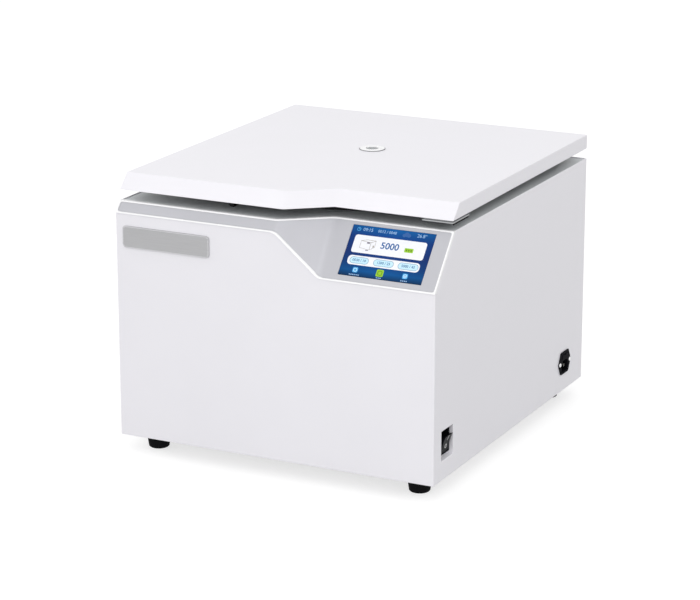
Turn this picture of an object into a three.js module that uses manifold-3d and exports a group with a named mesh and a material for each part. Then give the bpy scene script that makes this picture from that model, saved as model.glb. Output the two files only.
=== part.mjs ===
// A benchtop centrifuge: a sheet steel body on four rubber feet, a moulded front of three facets with a
// touch screen, a hinged lid with a sight glass, and a four-place swing-out rotor in a steel bowl.
// Millimetres, +Z up, front faces -Y. The origin is on the bench, at the middle of the body's footprint.
import * as THREE from "three";
import { mergeVertices } from "three/addons/utils/BufferGeometryUtils.js";
import Module from "manifold-3d";

const wasm = await Module();
wasm.setup();

// Driving dimensions. The buckets set the size of the bowl, and the bowl and the motor that of the body.

// Body
const SIDE_MARGIN = 35; // from the bowl to each side
const REAR_MARGIN = 19; // from the bowl to the rear
const FRONT_MARGIN = 95; // from the bowl to the front
const FLOOR_MARGIN = 31.5; // under the motor
const FOOT_HEIGHT = 21.5;
const SHEET = 2; // thickness of the painted steel
const FIT = 0.3; // gap between a piece and what it is seated on
const DECK_DROP = 1; // of the deck below the rims of the sides
const PAN_FLANGE = 18; // height of the base pan's turned-up edges
const DECK_FLANGE = 10; // height of the deck's turned-down edges

// Moulded front
const SLOPE = THREE.MathUtils.degToRad(40.6); // of the facets, from the vertical
const LEFT_FACET_LENGTH = 17.8; // down the slope
const PANEL_WIDTH = 152; // of the right-hand facet, at its lower edge
const FACET_WIDTH = 59; // of the middle facet, at its lower edge
const FACET_LEAN = 1; // of its left-hand bend, to the left at the top
const BEND_RADIUS = 14; // between the left and the middle facet
const CREASE_RADIUS = 26; // between the middle and the right facet
const FASCIA_PROUD = 1.2; // of the moulding above the steel
const FASCIA_DEPTH = 2.5; // of the moulding below the line of the steel
const RIM_WIDTH = 2.2; // of the raised edge round the moulding
const RIM_CORNER = 3;
const INLAY_DROP = 0.5; // of the silver inlay below the rim
const INLAY_THICKNESS = 0.8;
const SKIRT_HEIGHT = 10; // of the flange that hooks behind the front sheet
const SKIRT_THICKNESS = 2;

// Touch screen
const SCREEN_WIDTH = 108;
const SCREEN_HEIGHT = 66.5;
const SCREEN_THICKNESS = 1.6;
const SCREEN_MARGIN = 21; // to the right-hand side
const SCREEN_RISE = 9; // up the slope from the fascia's lower edge
const SCREEN_HEAD = 7.5; // from the screen to the upper end of its facet
const SCREEN_LEDGE = 4; // that carries the glass all round
const DISPLAY_THICKNESS = 8;
const DISPLAY_MARGIN = 4; // of the display's frame beyond the glass
const BOARD_THICKNESS = 1.6;
const BOARD_SPACING = 12; // from the display to the control board

// Nameplate
const PLATE_WIDTH = 121;
const PLATE_HEIGHT = 27.5;
const PLATE_THICKNESS = 1.5;
const PLATE_CORNER = 5;
const PLATE_MARGIN = 10; // to the left-hand side
const PLATE_DROP = 15; // below the fascia

// Chamber
const SWING_GAP = 13; // between the swung-out buckets and the bowl
const HANG_GAP = 23; // between the hanging buckets and the bowl's floor
const BOWL_WALL = 1.5;
const BOWL_CORNER = 25; // inside
const BOWL_FLANGE = 10; // width of the rim that rests on the deck
const BOWL_HOLE = 24; // radius of the hole for the shaft
const DECK_HOLE_GAP = 2.5; // between the bowl and the deck's opening
const SEAL_SETBACK = 2; // of the seal outside the bowl's edge
const SEAL_WIDTH = 13;
const SEAL_CROWN = 3; // height of the seal's rounded top
const GUARD_GAP = 10; // between the inside of the bowl and that of the steel guard ring
const GUARD_WALL = 3;
const GUARD_HEIGHT = 240;
const GUARD_DROP = 16; // below the deck

// Rotor and buckets
const PIVOT_RADIUS = 95;
const PIVOT_DROP = 55; // of the buckets' pivots below the deck
const ARM_REACH = 33; // of the arms beyond the pivots
const YOKE_THICKNESS = 16;
const NOTCH_GAP = 7; // between a bucket and the arm beside it
const NOTCH_BACK_GAP = 8; // between a bucket and the inner end of its notch
const NOTCH_CORNER = 10;
const ARM_HOLE = 13; // radius of the lightening hole in each arm
const HUB_RADIUS = 26;
const HUB_HEIGHT = 36;
const HUB_RISE = 2; // above the arms
const TRUNNION_RADIUS = 4;
const TRUNNION_LENGTH = 6.5; // that stands out of each arm
const BUCKET_COUNT = 4;
const BUCKET_RADIUS = 29;
const BUCKET_WALL = 2.5;
const BUCKET_FLOOR = 4;
const BUCKET_RISE = 13; // above the pivot
const BUCKET_LENGTH = 85; // overall
const BUCKET_CORNER = 10;
const LUG_WIDTH = 20;
const LUG_HEIGHT = 24;
const LUG_GAP = 1; // between a lug and the arm beside it
const SHAFT_RADIUS = 8;
const SHAFT_COLLAR = 14; // radius of the collar that carries the hub
const COLLAR_HEIGHT = 8;
const SHAFT_TIP = 12; // that the shaft stands out of the hub
const NUT_RADIUS = 15;
const NUT_HEIGHT = 18;

// Motor
const MOTOR_RADIUS = 62;
const MOTOR_HEIGHT = 92;
const MOTOR_BOSS = 30; // radius
const MOTOR_BOSS_HEIGHT = 11;
const MOTOR_FIN_COUNT = 12;
const MOTOR_FIN_DEPTH = 5;
const MOTOR_DROP = 24; // of the motor's shoulder below the bowl
const BEARING_RADIUS = 16;
const BEARING_HEIGHT = 12;
const BEARING_LEDGE = 12; // radius of the bore between the bearings
const MOTOR_FLOOR = 14;
const PLATE_RADIUS = 115; // of the plate that the motor hangs from
const MOTOR_PLATE_THICKNESS = 5;
const DAMPER_CIRCLE = 95; // radius on which the dampers stand
const DAMPER_COUNT = 3;
const DAMPER_RADIUS = 14;
const DAMPER_WAIST = 10;
const DAMPER_HEIGHT = 30;
const FRAME_RING_WIDTH = 24;
const FRAME_RING_HEIGHT = 4;
const FRAME_LEG = 20; // width of each leg
const BOOT_FLANGE = 4; // that the shaft's boot overlaps the bowl
const BOOT_BORE = 12; // radius

// Lid
const LID_GAP = 13; // between the body and the lid
const LID_THICKNESS = 18.5;
const LID_SLOPE = THREE.MathUtils.degToRad(45);
const LID_LEFT_SETBACK = 10; // of its lower edge behind the front of the body
const LID_RIGHT_SETBACK = 48.5;
const LID_STEP_SHIFT = 3; // of the lid's step to the left of the body's
const LID_STEP_WIDTH = 49;
const LID_STEP_LEAN = 2;
const LINER_THICKNESS = 1.5;
const LINER_RISE = 1.3; // of the liner above the lid's lower edge
const BOSS_MARGIN = 1; // of the liner's pressed-down centre, beyond the seal
const BOSS_DROP = 4.7; // below the lid's lower edge
const BOSS_SETBACK = 1.5; // of its flat in front of the hinges' axis
const STRIP_LENGTH = 40; // of the corner strip along the front
const STRIP_RETURN = 47; // and along the side
const STRIP_WIDTH = 11;
const STRIP_DROP = 3.2; // below the lid's lower edge
const STRIP_LIP = 1.4; // thickness of its lip
const STRIP_RECESS = 4.5; // of its neck behind the lip
const SIGHT_RADIUS = 16;
const SIGHT_FLANGE = 20; // radius of the ring's flange under the lid
const SIGHT_WINDOW = 8; // radius
const SIGHT_TUBE = 12;
const SIGHT_LIP = 1; // that carries the glass
const SIGHT_PROUD = 1.2;
const GLASS_THICKNESS = 1.5;

// Hinges
const HINGE_MARGIN = 55; // from a hinge's middle to the side
const HINGE_INSET = 5; // of the axis in front of the rear
const HINGE_RISE = 7; // of the axis above the rims of the sides
const HINGE_PIN = 3; // radius
const KNUCKLE_WIDTH = 26;
const KNUCKLE_RADIUS = 4.5;
const EAR_RADIUS = 4.7;
const EAR_THICKNESS = 3;
const HINGE_PLATE = 2; // thickness
const LEAF_LENGTH = 34; // in front of the axis
const LEAF_BACK = 2; // behind it
const BRACKET_FRONT = 14; // of the bracket's foot, in front of the axis
const BRACKET_BACK = 2.2; // and behind it

// Lid lock
const LATCH_LEFT = 84; // of the latch, from the front's bend
const LATCH_BACK = 59; // behind the front
const HOOK_THICKNESS = 6;
const HOOK_WIDTH = 20;
const HOOK_REACH = 37; // below the liner
const HOOK_WINDOW_WIDTH = 12;
const HOOK_WINDOW_HEIGHT = 10;
const HOOK_END = 6; // below the window
const HOOK_FOOT_WIDTH = 34;
const HOOK_FOOT_DEPTH = 26;
const HOOK_FOOT_THICKNESS = 2;
const HOOK_SWING_GAP = 4; // round the hook as it swings out of the lock
const LOCK_WIDTH = 64;
const LOCK_DEPTH = 36;
const LOCK_HEIGHT = 50;
const PAWL_SIZE = 8;
const PAWL_LENGTH = 30;
const PAWL_STANDOFF = 2; // between the drawn-back pawl and the hook
const PAWL_GAP = 0.5;

// Power switch
const POCKET_FRONT = 21.5; // of the pocket's edge behind the front
const POCKET_LENGTH = 34.5;
const POCKET_LOW = 24.5; // above the bottom of the body
const POCKET_HEIGHT = 37.3;
const POCKET_DEPTH = 8;
const SWITCH_BACK = 40.5;
const SWITCH_UP = 44.1;
const SWITCH_WIDTH = 25.6;
const SWITCH_HEIGHT = 31;
const SWITCH_DROP = 4; // of its face below the side
const SWITCH_BODY = 24; // length behind the pocket
const SWITCH_RIM = 2; // width round the rocker
const ROCKER_TILT = THREE.MathUtils.degToRad(15);
const ROCKER_PIVOT = 8.6; // below the side
const ROCKER_HALF = 11.3;
const ROCKER_RISE = 8; // of its ends above the pivot
const ROCKER_DIP = 5.4; // of its middle above the pivot
const ROCKER_ROUND = 6.5; // radius round the pivot
const ROCKER_SIDE_GAP = 0.4;

// Mains inlet
const INLET_BACK = 410;
const INLET_UP = 38.8;
const INLET_LENGTH = 40.8; // over its two pointed ends
const INLET_HEIGHT = 30.4;
const INLET_SHOULDER = 25.1; // length of its level edges
const INLET_FLANGE = 1.2;
const INLET_BODY_WIDTH = 24.6;
const INLET_BODY_HEIGHT = 27.2;
const INLET_BODY_DEPTH = 26;
const SOCKET_WIDTH = 22;
const SOCKET_HEIGHT = 15.6;
const SOCKET_CHAMFER = 5;
const SOCKET_DEPTH = 17;
const SOCKET_DROP = 4.6; // of its middle below the inlet's
const BLADE_LENGTH = 13;
const BLADE_WIDTH = 2;
const BLADE_HEIGHT = 4;
const BLADE_SPACING = 7;
const BLADE_STAGGER = 2; // of the earth blade above and the others below the middle
const DRAWER_WIDTH = 19.6;
const DRAWER_HEIGHT = 6.2;
const DRAWER_RISE = 8.3; // of its middle above the inlet's
const DRAWER_LENGTH = 20;
const DRAWER_PROUD = 0.6;
const DRAWER_NOTCH = 5;

// Cooling fan and rear panel
const FAN_SIZE = 80;
const FAN_THICKNESS = 20;
const FAN_BORE = 37.5; // radius
const FAN_RIGHT = 65; // of its axis, from the left-hand side
const FAN_UP = 92;
const FAN_HUB = 14; // radius
const FAN_STRUT = 4;
const FAN_WEB = 3; // thickness of the struts
const FAN_TIP_GAP = 1.5;
const BLADE_COUNT = 7;
const BLADE_CHORD_RADIUS = 12;
const BLADE_SKIN = 1.2;
const BLADE_DEPTH = 11; // along the axis
const VENT_ROWS = 9;
const VENT_PITCH = 8;
const VENT_LENGTH = 66;
const VENT_HEIGHT = 3.6;

// Drive unit
const DRIVE_WIDTH = 150;
const DRIVE_DEPTH = 80;
const DRIVE_STANDOFF = 6;
const DRIVE_MARGIN = 20; // to the sheets at its left and front
const HEATSINK_WIDTH = 70;
const HEATSINK_HEIGHT = 26;
const HEATSINK_FINS = 8;
const FIN_THICKNESS = 2;
const HEATSINK_BASE = 4;
const HEATSINK_LEFT = 10; // from the board's edges
const HEATSINK_FRONT = 12;
const CAPACITOR_RADIUS = 9;
const CAPACITOR_HEIGHT = 28;
const CAPACITOR_COUNT = 3;
const CAPACITOR_RIGHT = 18; // of their axes, from the board's edges
const CAPACITOR_FRONT = 14;
const CAPACITOR_SPACING = 6; // between two of them
const STANDOFF_RADIUS = 3;
const STANDOFF_INSET = 6;

// Feet
const FOOT_TOP_RADIUS = 16;
const FOOT_RADIUS = 13;
const FOOT_EDGE = 1.5;
const FOOT_SCREW_RADIUS = 5;
const FOOT_SCREW_DEPTH = 4;
const FOOT_SIDE_INSET = 34;
const FOOT_END_INSET = 35;

// Facets round a full turn
const LARGE_ROUND = 40;
const ROUND = 20;
const CORNER_STEPS = 4;

// Sizes that follow from them
const RIGHT_FACET_LENGTH = SCREEN_RISE + SCREEN_HEIGHT + SCREEN_HEAD; // down the slope
const HANG_LENGTH = BUCKET_LENGTH - BUCKET_RISE; // of a bucket below its pivot
const NOTCH_WIDTH = 2 * (BUCKET_RADIUS + NOTCH_GAP);
const NOTCH_INNER = PIVOT_RADIUS - BUCKET_RADIUS - NOTCH_BACK_GAP; // radius at which a notch starts
const YOKE_RADIUS = PIVOT_RADIUS + ARM_REACH;
const BOWL_RADIUS = PIVOT_RADIUS + HANG_LENGTH + SWING_GAP; // inside
const BOWL_DEPTH = PIVOT_DROP + HANG_LENGTH + HANG_GAP; // below the deck
const SEAL_INNER = BOWL_RADIUS + SEAL_SETBACK;
const SEAL_OUTER = SEAL_INNER + SEAL_WIDTH;
const GUARD_RADIUS = BOWL_RADIUS + GUARD_GAP;
const BOSS_RADIUS = SEAL_OUTER + BOSS_MARGIN;
const WIDTH = 2 * (BOWL_RADIUS + SIDE_MARGIN);
const DEPTH = FRONT_MARGIN + 2 * BOWL_RADIUS + REAR_MARGIN;
const MOTOR_STACK = DECK_DROP + BOWL_DEPTH + BOWL_WALL + MOTOR_DROP + MOTOR_HEIGHT;
const BODY_HEIGHT = MOTOR_STACK + FLOOR_MARGIN;

// Levels and places that follow from them
const LEFT = -WIDTH / 2;
const RIGHT = WIDTH / 2;
const FRONT = -DEPTH / 2;
const REAR = DEPTH / 2;
const BOTTOM = FOOT_HEIGHT;
const TOP = BOTTOM + BODY_HEIGHT;
const INSIDE = SHEET + FIT; // from an outer face to a piece that lies against its sheet
const DECK_TOP = TOP - DECK_DROP;
const DECK_BOTTOM = DECK_TOP - SHEET;
const PAN_TOP = BOTTOM + SHEET;
const LID_BOTTOM = TOP + LID_GAP;
const LID_TOP = LID_BOTTOM + LID_THICKNESS;
const AXIS_Y = REAR - REAR_MARGIN - BOWL_RADIUS;
const BOWL_TOP = DECK_TOP + FIT + BOWL_WALL;
const BOWL_FLOOR = DECK_TOP - BOWL_DEPTH;
const LINER_BOTTOM = LID_BOTTOM + LINER_RISE;
const BOSS_BOTTOM = LID_BOTTOM - BOSS_DROP;
const PIVOT_Z = DECK_TOP - PIVOT_DROP;
const HUB_TOP = PIVOT_Z + YOKE_THICKNESS / 2 + HUB_RISE;
const HUB_BOTTOM = HUB_TOP - HUB_HEIGHT;
const MOTOR_SHOULDER = BOWL_FLOOR - BOWL_WALL - MOTOR_DROP;
const MOTOR_BOTTOM = MOTOR_SHOULDER - MOTOR_HEIGHT;
const MOTOR_PLATE_BOTTOM = MOTOR_SHOULDER + FIT;
const FRAME_TOP = MOTOR_PLATE_BOTTOM - 2 * FIT - DAMPER_HEIGHT;
const HINGE_Y = REAR - HINGE_INSET;
const HINGE_Z = TOP + HINGE_RISE;
const FACET_RIGHT = RIGHT - PANEL_WIDTH;
const FACET_LEFT = FACET_RIGHT - FACET_WIDTH;
const LATCH_X = FACET_LEFT - LATCH_LEFT;
const LATCH_Y = FRONT + LATCH_BACK;
const HOOK_TOP = LINER_BOTTOM - FIT;
const HOOK_BOTTOM = HOOK_TOP - HOOK_REACH;
const PAWL_Z = HOOK_BOTTOM + HOOK_END + HOOK_WINDOW_HEIGHT / 2;
const SWITCH_Y = FRONT + SWITCH_BACK;
const SWITCH_Z = BOTTOM + SWITCH_UP;
const INLET_Y = FRONT + INLET_BACK;
const INLET_Z = BOTTOM + INLET_UP;

// Solids from three.js geometry

function solidOf(geometry) {
  const bare = geometry.clone();
  bare.deleteAttribute("normal");
  bare.deleteAttribute("uv");
  const merged = mergeVertices(bare, 1e-4);
  const vertProperties = merged.getAttribute("position").array;
  const triVerts = new Uint32Array(merged.index.array);
  return new wasm.Manifold(new wasm.Mesh({ numProp: 3, vertProperties, triVerts }));
}

function join(...solids) {
  return solids.reduce((whole, solid) => whole.add(solid));
}

function common(...solids) {
  return solids.reduce((whole, solid) => whole.intersect(solid));
}

function cut(whole, ...tools) {
  return tools.reduce((rest, tool) => rest.subtract(tool), whole);
}

// A block between two limits on each axis.
function block([x0, x1], [y0, y1], [z0, z1]) {
  const geometry = new THREE.BoxGeometry(x1 - x0, y1 - y0, z1 - z0);
  return solidOf(geometry.translate((x0 + x1) / 2, (y0 + y1) / 2, (z0 + z1) / 2));
}

// The limits of a length centred on a point.
function about(middle, length) {
  return [middle - length / 2, middle + length / 2];
}

// A closed outline through the corners [x, y, radius], each rounded by its radius.
function outline(corners) {
  const shape = new THREE.Shape();
  corners.forEach(([x, y, radius = 0], i) => {
    const corner = new THREE.Vector2(x, y);
    const before = new THREE.Vector2(...corners.at(i - 1)).sub(corner).normalize();
    const after = new THREE.Vector2(...corners[(i + 1) % corners.length]).sub(corner).normalize();
    const back = radius / Math.tan(Math.acos(before.dot(after)) / 2);
    const start = before.multiplyScalar(back).add(corner);
    const end = after.multiplyScalar(back).add(corner);
    if (i === 0) shape.moveTo(start.x, start.y);
    else shape.lineTo(start.x, start.y);
    if (radius > 0) shape.quadraticCurveTo(x, y, end.x, end.y);
  });
  shape.closePath();
  return shape;
}

// A rectangle with rounded corners, given by its limits.
function rectangle([x0, x1], [y0, y1], radius = 0) {
  const corners = [[x0, y0], [x1, y0], [x1, y1], [x0, y1]];
  return outline(corners.map((corner) => [...corner, radius]));
}

function disc(radius, x = 0, y = 0) {
  return new THREE.Shape().absarc(x, y, radius, 0, 2 * Math.PI);
}

// The same corners with every edge moved inwards; the corners run anticlockwise.
function inset(corners, distance) {
  return corners.map(([x, y, ...radius], i) => {
    const [bx, by] = corners.at(i - 1);
    const [ax, ay] = corners[(i + 1) % corners.length];
    const before = new THREE.Vector2(x - bx, y - by).normalize();
    const after = new THREE.Vector2(ax - x, ay - y).normalize();
    const step = distance / before.cross(after);
    return [x + (after.x - before.x) * step, y + (after.y - before.y) * step, ...radius];
  });
}

function extruded(shape, length, curveSegments) {
  return new THREE.ExtrudeGeometry(shape, { depth: length, bevelEnabled: false, curveSegments });
}

// An outline in X and Y, raised between two levels.
function prismUp(shape, [z0, z1], steps = CORNER_STEPS) {
  return solidOf(extruded(shape, z1 - z0, steps).translate(0, 0, z0));
}

// An outline in X and Z, drawn from front to rear.
function prismBack(shape, [y0, y1], steps = CORNER_STEPS) {
  return solidOf(extruded(shape, y1 - y0, steps).rotateX(Math.PI / 2).translate(0, y1, 0));
}

// An outline in Y and Z, drawn from left to right.
function prismAcross(shape, [x0, x1], steps = CORNER_STEPS) {
  const axes = [new THREE.Vector3(0, 1, 0), new THREE.Vector3(0, 0, 1), new THREE.Vector3(1, 0, 0)];
  const turn = new THREE.Matrix4().makeBasis(...axes);
  return solidOf(extruded(shape, x1 - x0, steps).applyMatrix4(turn).translate(x0, 0, 0));
}

// A profile [radius, height], anticlockwise, turned about the Z axis.
function turned(profile, segments = ROUND) {
  const points = profile.map(([radius, z]) => new THREE.Vector2(radius, z));
  return solidOf(new THREE.LatheGeometry(points, segments).rotateX(Math.PI / 2));
}

function ring(inner, outer, [z0, z1], segments = ROUND) {
  return turned([[inner, z0], [outer, z0], [outer, z1], [inner, z1], [inner, z0]], segments);
}

function rod(radius, [z0, z1], segments = ROUND) {
  return turned([[0, z0], [radius, z0], [radius, z1], [0, z1]], segments);
}

// Points of a quarter round in a profile, about [radius, z], from one angle to another.
function quarter(radius, z, size, from, to) {
  return Array.from({ length: CORNER_STEPS + 1 }, (_, i) => {
    const angle = THREE.MathUtils.degToRad(from + ((to - from) * i) / CORNER_STEPS);
    return [radius + size * Math.cos(angle), z + size * Math.sin(angle)];
  });
}

// The same solid, copied round the Z axis.
function around(count, make, start = 0) {
  return Array.from({ length: count }, (_, i) => make(start + (i * 2 * Math.PI) / count));
}

// A solid of a geometry that is first placed by a matrix.
function placed(geometry, matrix) {
  return solidOf(geometry.applyMatrix4(matrix));
}

// The stepped front, which the body and the lid share in kind

const REACH = 4 * Math.max(WIDTH, DEPTH); // a half space is a block of this size

// All that lies behind a plane, which is first moved back by a depth.
function behind(plane, depth) {
  const geometry = new THREE.BoxGeometry(REACH, REACH, REACH).translate(0, 0, -REACH / 2);
  const turn = new THREE.Quaternion().setFromUnitVectors(new THREE.Vector3(0, 0, 1), plane.normal);
  const face = plane.normal.clone().multiplyScalar(-plane.constant - depth);
  return solidOf(geometry.applyQuaternion(turn).translate(face.x, face.y, face.z));
}

// Planes that round the edge between two planes: outwards in a crease, inwards at a bend.
function rounding(a, b, radius) {
  const along = a.normal.dot(b.normal);
  const angle = Math.acos(along);
  const da = -a.constant + radius;
  const db = -b.constant + radius;
  const middle = a.normal.clone().multiplyScalar((da - along * db) / (1 - along * along));
  middle.addScaledVector(b.normal, (db - along * da) / (1 - along * along));
  return Array.from({ length: CORNER_STEPS }, (_, i) => {
    const part = (angle * (i + 1)) / (CORNER_STEPS + 1);
    const normal = a.normal.clone().multiplyScalar(Math.sin(angle - part) / Math.sin(angle));
    normal.addScaledVector(b.normal, Math.sin(part) / Math.sin(angle));
    return new THREE.Plane(normal, radius - normal.dot(middle));
  });
}

// Two parallel slopes through the left and right lower edges [y, z], and a facet between them through
// the lower points at leftX and rightX that leans to the left as it rises to the top.
function steppedFront({ slope, left, right, leftX, rightX, lean, top, bendRadius, creaseRadius }) {
  const normal = new THREE.Vector3(0, -Math.cos(slope), Math.sin(slope));
  const lowLeft = new THREE.Vector3(leftX, ...left);
  const lowRight = new THREE.Vector3(rightX, ...right);
  const rise = top - left[1];
  const highLeft = new THREE.Vector3(leftX - lean, left[0] + rise * Math.tan(slope), top);
  const leftPlane = new THREE.Plane().setFromNormalAndCoplanarPoint(normal, lowLeft);
  const rightPlane = new THREE.Plane().setFromNormalAndCoplanarPoint(normal, lowRight);
  const facet = new THREE.Plane().setFromCoplanarPoints(highLeft, lowLeft, lowRight);
  const bend = bendRadius > 0 ? rounding(leftPlane, facet, -bendRadius) : [];
  const crease = creaseRadius > 0 ? rounding(facet, rightPlane, creaseRadius) : [];
  return (depth) => {
    const facetSide = common(...[facet, ...bend].map((plane) => behind(plane, depth)));
    const rightSide = join(...[rightPlane, ...crease].map((plane) => behind(plane, depth)));
    return common(behind(leftPlane, depth), join(facetSide, rightSide));
  };
}

const LEFT_EDGE = TOP - LEFT_FACET_LENGTH * Math.cos(SLOPE);
const RIGHT_EDGE = TOP - RIGHT_FACET_LENGTH * Math.cos(SLOPE);

const behindFront = steppedFront({
  slope: SLOPE,
  left: [FRONT, LEFT_EDGE],
  right: [FRONT, RIGHT_EDGE],
  leftX: FACET_LEFT,
  rightX: FACET_RIGHT,
  lean: FACET_LEAN,
  top: TOP,
  bendRadius: BEND_RADIUS,
  creaseRadius: CREASE_RADIUS,
});

const LID_STEP_RIGHT = FACET_RIGHT - LID_STEP_SHIFT;

const behindLidFront = steppedFront({
  slope: LID_SLOPE,
  left: [FRONT + LID_LEFT_SETBACK, LID_BOTTOM],
  right: [FRONT + LID_RIGHT_SETBACK, LID_BOTTOM],
  leftX: LID_STEP_RIGHT - LID_STEP_WIDTH,
  rightX: LID_STEP_RIGHT,
  lean: LID_STEP_LEAN,
  top: LID_TOP,
  bendRadius: 0,
  creaseRadius: 0,
});

// Moulded front

// Corners of the fascia as measured on the slope, down from its top, moved in by a margin.
function fasciaCorners(margin, corner) {
  const left = -LEFT_FACET_LENGTH;
  const right = -RIGHT_FACET_LENGTH;
  const edges = [
    [LEFT, left, corner],
    [FACET_LEFT, left, BEND_RADIUS],
    [FACET_RIGHT, right, BEND_RADIUS],
    [RIGHT, right, corner],
    [RIGHT, 0, corner],
    [LEFT, 0, corner],
  ];
  return inset(edges, margin);
}

// An outline on the slope, seen from the front and drawn from front to rear.
function slopeColumn(corners) {
  const length = DEPTH / 2;
  const geometry = extruded(outline(corners), length, CORNER_STEPS).scale(1, Math.cos(SLOPE), 1);
  return solidOf(geometry.rotateX(Math.PI / 2).translate(0, FRONT + length / 2, TOP));
}

// The shell between two depths behind the front, inside an outline on the slope.
function fasciaShell(corners, outer, inner) {
  return common(slopeColumn(corners), cut(behindFront(outer), behindFront(inner)));
}

// All above the fascia's lower edge, which is first moved up or down.
function aboveFascia(shift) {
  const rise = shift / Math.cos(SLOPE);
  const high = DEPTH;
  return slopeColumn([
    [LEFT - 1, rise - LEFT_FACET_LENGTH],
    [FACET_LEFT, rise - LEFT_FACET_LENGTH, BEND_RADIUS],
    [FACET_RIGHT, rise - RIGHT_FACET_LENGTH, BEND_RADIUS],
    [RIGHT + 1, rise - RIGHT_FACET_LENGTH],
    [RIGHT + 1, high],
    [LEFT - 1, high],
  ]);
}

const INLAY_SEAT = INLAY_DROP + INLAY_THICKNESS + FIT - FASCIA_PROUD;
const SCREEN_SEAT = INLAY_DROP + SCREEN_THICKNESS + FIT;

// The screen's own frame: X along the screen, Y up the slope, Z out of it, on the top of the rim.
const screenFrame = new THREE.Group();
screenFrame.rotation.x = Math.PI / 2 - SLOPE;
const upSlope = SCREEN_RISE + SCREEN_HEIGHT / 2;
screenFrame.position.set(
  RIGHT - SCREEN_MARGIN - SCREEN_WIDTH / 2,
  FRONT + upSlope * Math.sin(SLOPE) - FASCIA_PROUD * Math.cos(SLOPE),
  RIGHT_EDGE + upSlope * Math.cos(SLOPE) + FASCIA_PROUD * Math.sin(SLOPE),
);
screenFrame.updateMatrix();

// A block in the screen's frame, wider and higher than the glass by a margin on each side.
function screenBlock(margin, [z0, z1]) {
  const width = SCREEN_WIDTH + 2 * margin;
  const height = SCREEN_HEIGHT + 2 * margin;
  return new THREE.BoxGeometry(width, height, z1 - z0).translate(0, 0, (z0 + z1) / 2);
}

function fasciaBezel() {
  const shell = fasciaShell(fasciaCorners(0, 0), -FASCIA_PROUD, FASCIA_DEPTH);
  const recess = fasciaShell(fasciaCorners(RIM_WIDTH, RIM_CORNER), -2 * FASCIA_PROUD, INLAY_SEAT);
  const hook = common(
    cut(aboveFascia(-SKIRT_HEIGHT), aboveFascia(SKIRT_THICKNESS)),
    block(
      [LEFT + INSIDE, RIGHT - INSIDE],
      [FRONT + INSIDE, FRONT + INSIDE + SKIRT_THICKNESS],
      [BOTTOM, TOP],
    ),
  );
  const seat = placed(screenBlock(FIT, [-SCREEN_SEAT, SCREEN_SEAT]), screenFrame.matrix);
  const window = placed(screenBlock(-SCREEN_LEDGE, [-FASCIA_DEPTH * 4, 0]), screenFrame.matrix);
  return cut(join(cut(shell, recess), hook), seat, window);
}

function fasciaInlay() {
  const surface = INLAY_DROP - FASCIA_PROUD;
  const sheet = fasciaShell(fasciaCorners(RIM_WIDTH + FIT, RIM_CORNER), surface, surface + INLAY_THICKNESS);
  const opening = placed(screenBlock(FIT, [-SCREEN_SEAT, SCREEN_SEAT]), screenFrame.matrix);
  return cut(sheet, opening);
}

function touchScreen() {
  return solidOf(screenBlock(0, [-INLAY_DROP - SCREEN_THICKNESS, -INLAY_DROP]));
}

const DISPLAY_FACE = -(FASCIA_PROUD + FASCIA_DEPTH + FIT);
const BOARD_FACE = DISPLAY_FACE - DISPLAY_THICKNESS - BOARD_SPACING;

function displayModule() {
  const frame = screenBlock(DISPLAY_MARGIN, [DISPLAY_FACE - DISPLAY_THICKNESS, DISPLAY_FACE]);
  return solidOf(frame);
}

// The control board, with a connector row and four pillars that reach the display.
function controlBoard() {
  const board = solidOf(screenBlock(-SCREEN_LEDGE, [BOARD_FACE - BOARD_THICKNESS, BOARD_FACE]));
  const x = SCREEN_WIDTH / 2 - 2 * SCREEN_LEDGE;
  const y = SCREEN_HEIGHT / 2 - 2 * SCREEN_LEDGE;
  const pillar = (px, py) =>
    prismUp(disc(SCREEN_LEDGE - 1, px, py), [BOARD_FACE - 1, DISPLAY_FACE - DISPLAY_THICKNESS - FIT]);
  const connector = block(about(0, SCREEN_WIDTH / 2), about(-y, 6), [BOARD_FACE - 8, BOARD_FACE]);
  return join(board, connector, pillar(x, y), pillar(-x, y), pillar(x, -y), pillar(-x, -y));
}

function nameplate() {
  const left = LEFT + PLATE_MARGIN;
  const top = LEFT_EDGE - PLATE_DROP;
  const shape = rectangle([left, left + PLATE_WIDTH], [top - PLATE_HEIGHT, top], PLATE_CORNER);
  return prismBack(shape, [FRONT - FIT - PLATE_THICKNESS, FRONT - FIT]);
}

// Body panels

// Front and sides in one bent sheet, with the switch's pocket drawn into the right-hand side.
function housingShell() {
  const outer = block([LEFT, RIGHT], [FRONT, REAR], [BOTTOM, TOP]);
  const inner = block([LEFT + SHEET, RIGHT - SHEET], [FRONT + SHEET, REAR + 1], [BOTTOM - 1, TOP + 1]);
  const underFascia = cut(outer, aboveFascia(-FIT));
  const keep = join(underFascia, behindFront(FASCIA_DEPTH + FIT));
  const y0 = FRONT + POCKET_FRONT;
  const y1 = y0 + POCKET_LENGTH;
  const z0 = BOTTOM + POCKET_LOW;
  const z1 = z0 + POCKET_HEIGHT;
  const pocketWalls = block(
    [RIGHT - POCKET_DEPTH - SHEET, RIGHT],
    [y0 - SHEET, y1 + SHEET],
    [z0 - SHEET, z1 + SHEET],
  );
  const pocket = block([RIGHT - POCKET_DEPTH, RIGHT + 1], [y0, y1], [z0, z1]);
  const switchHole = switchBlock(FIT, [-POCKET_DEPTH - 2 * SHEET, 0]);
  const inletHole = inletBlock(FIT, [-2 * SHEET, SHEET]);
  return cut(join(common(cut(outer, inner), keep), pocketWalls), pocket, switchHole, inletHole);
}

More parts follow.
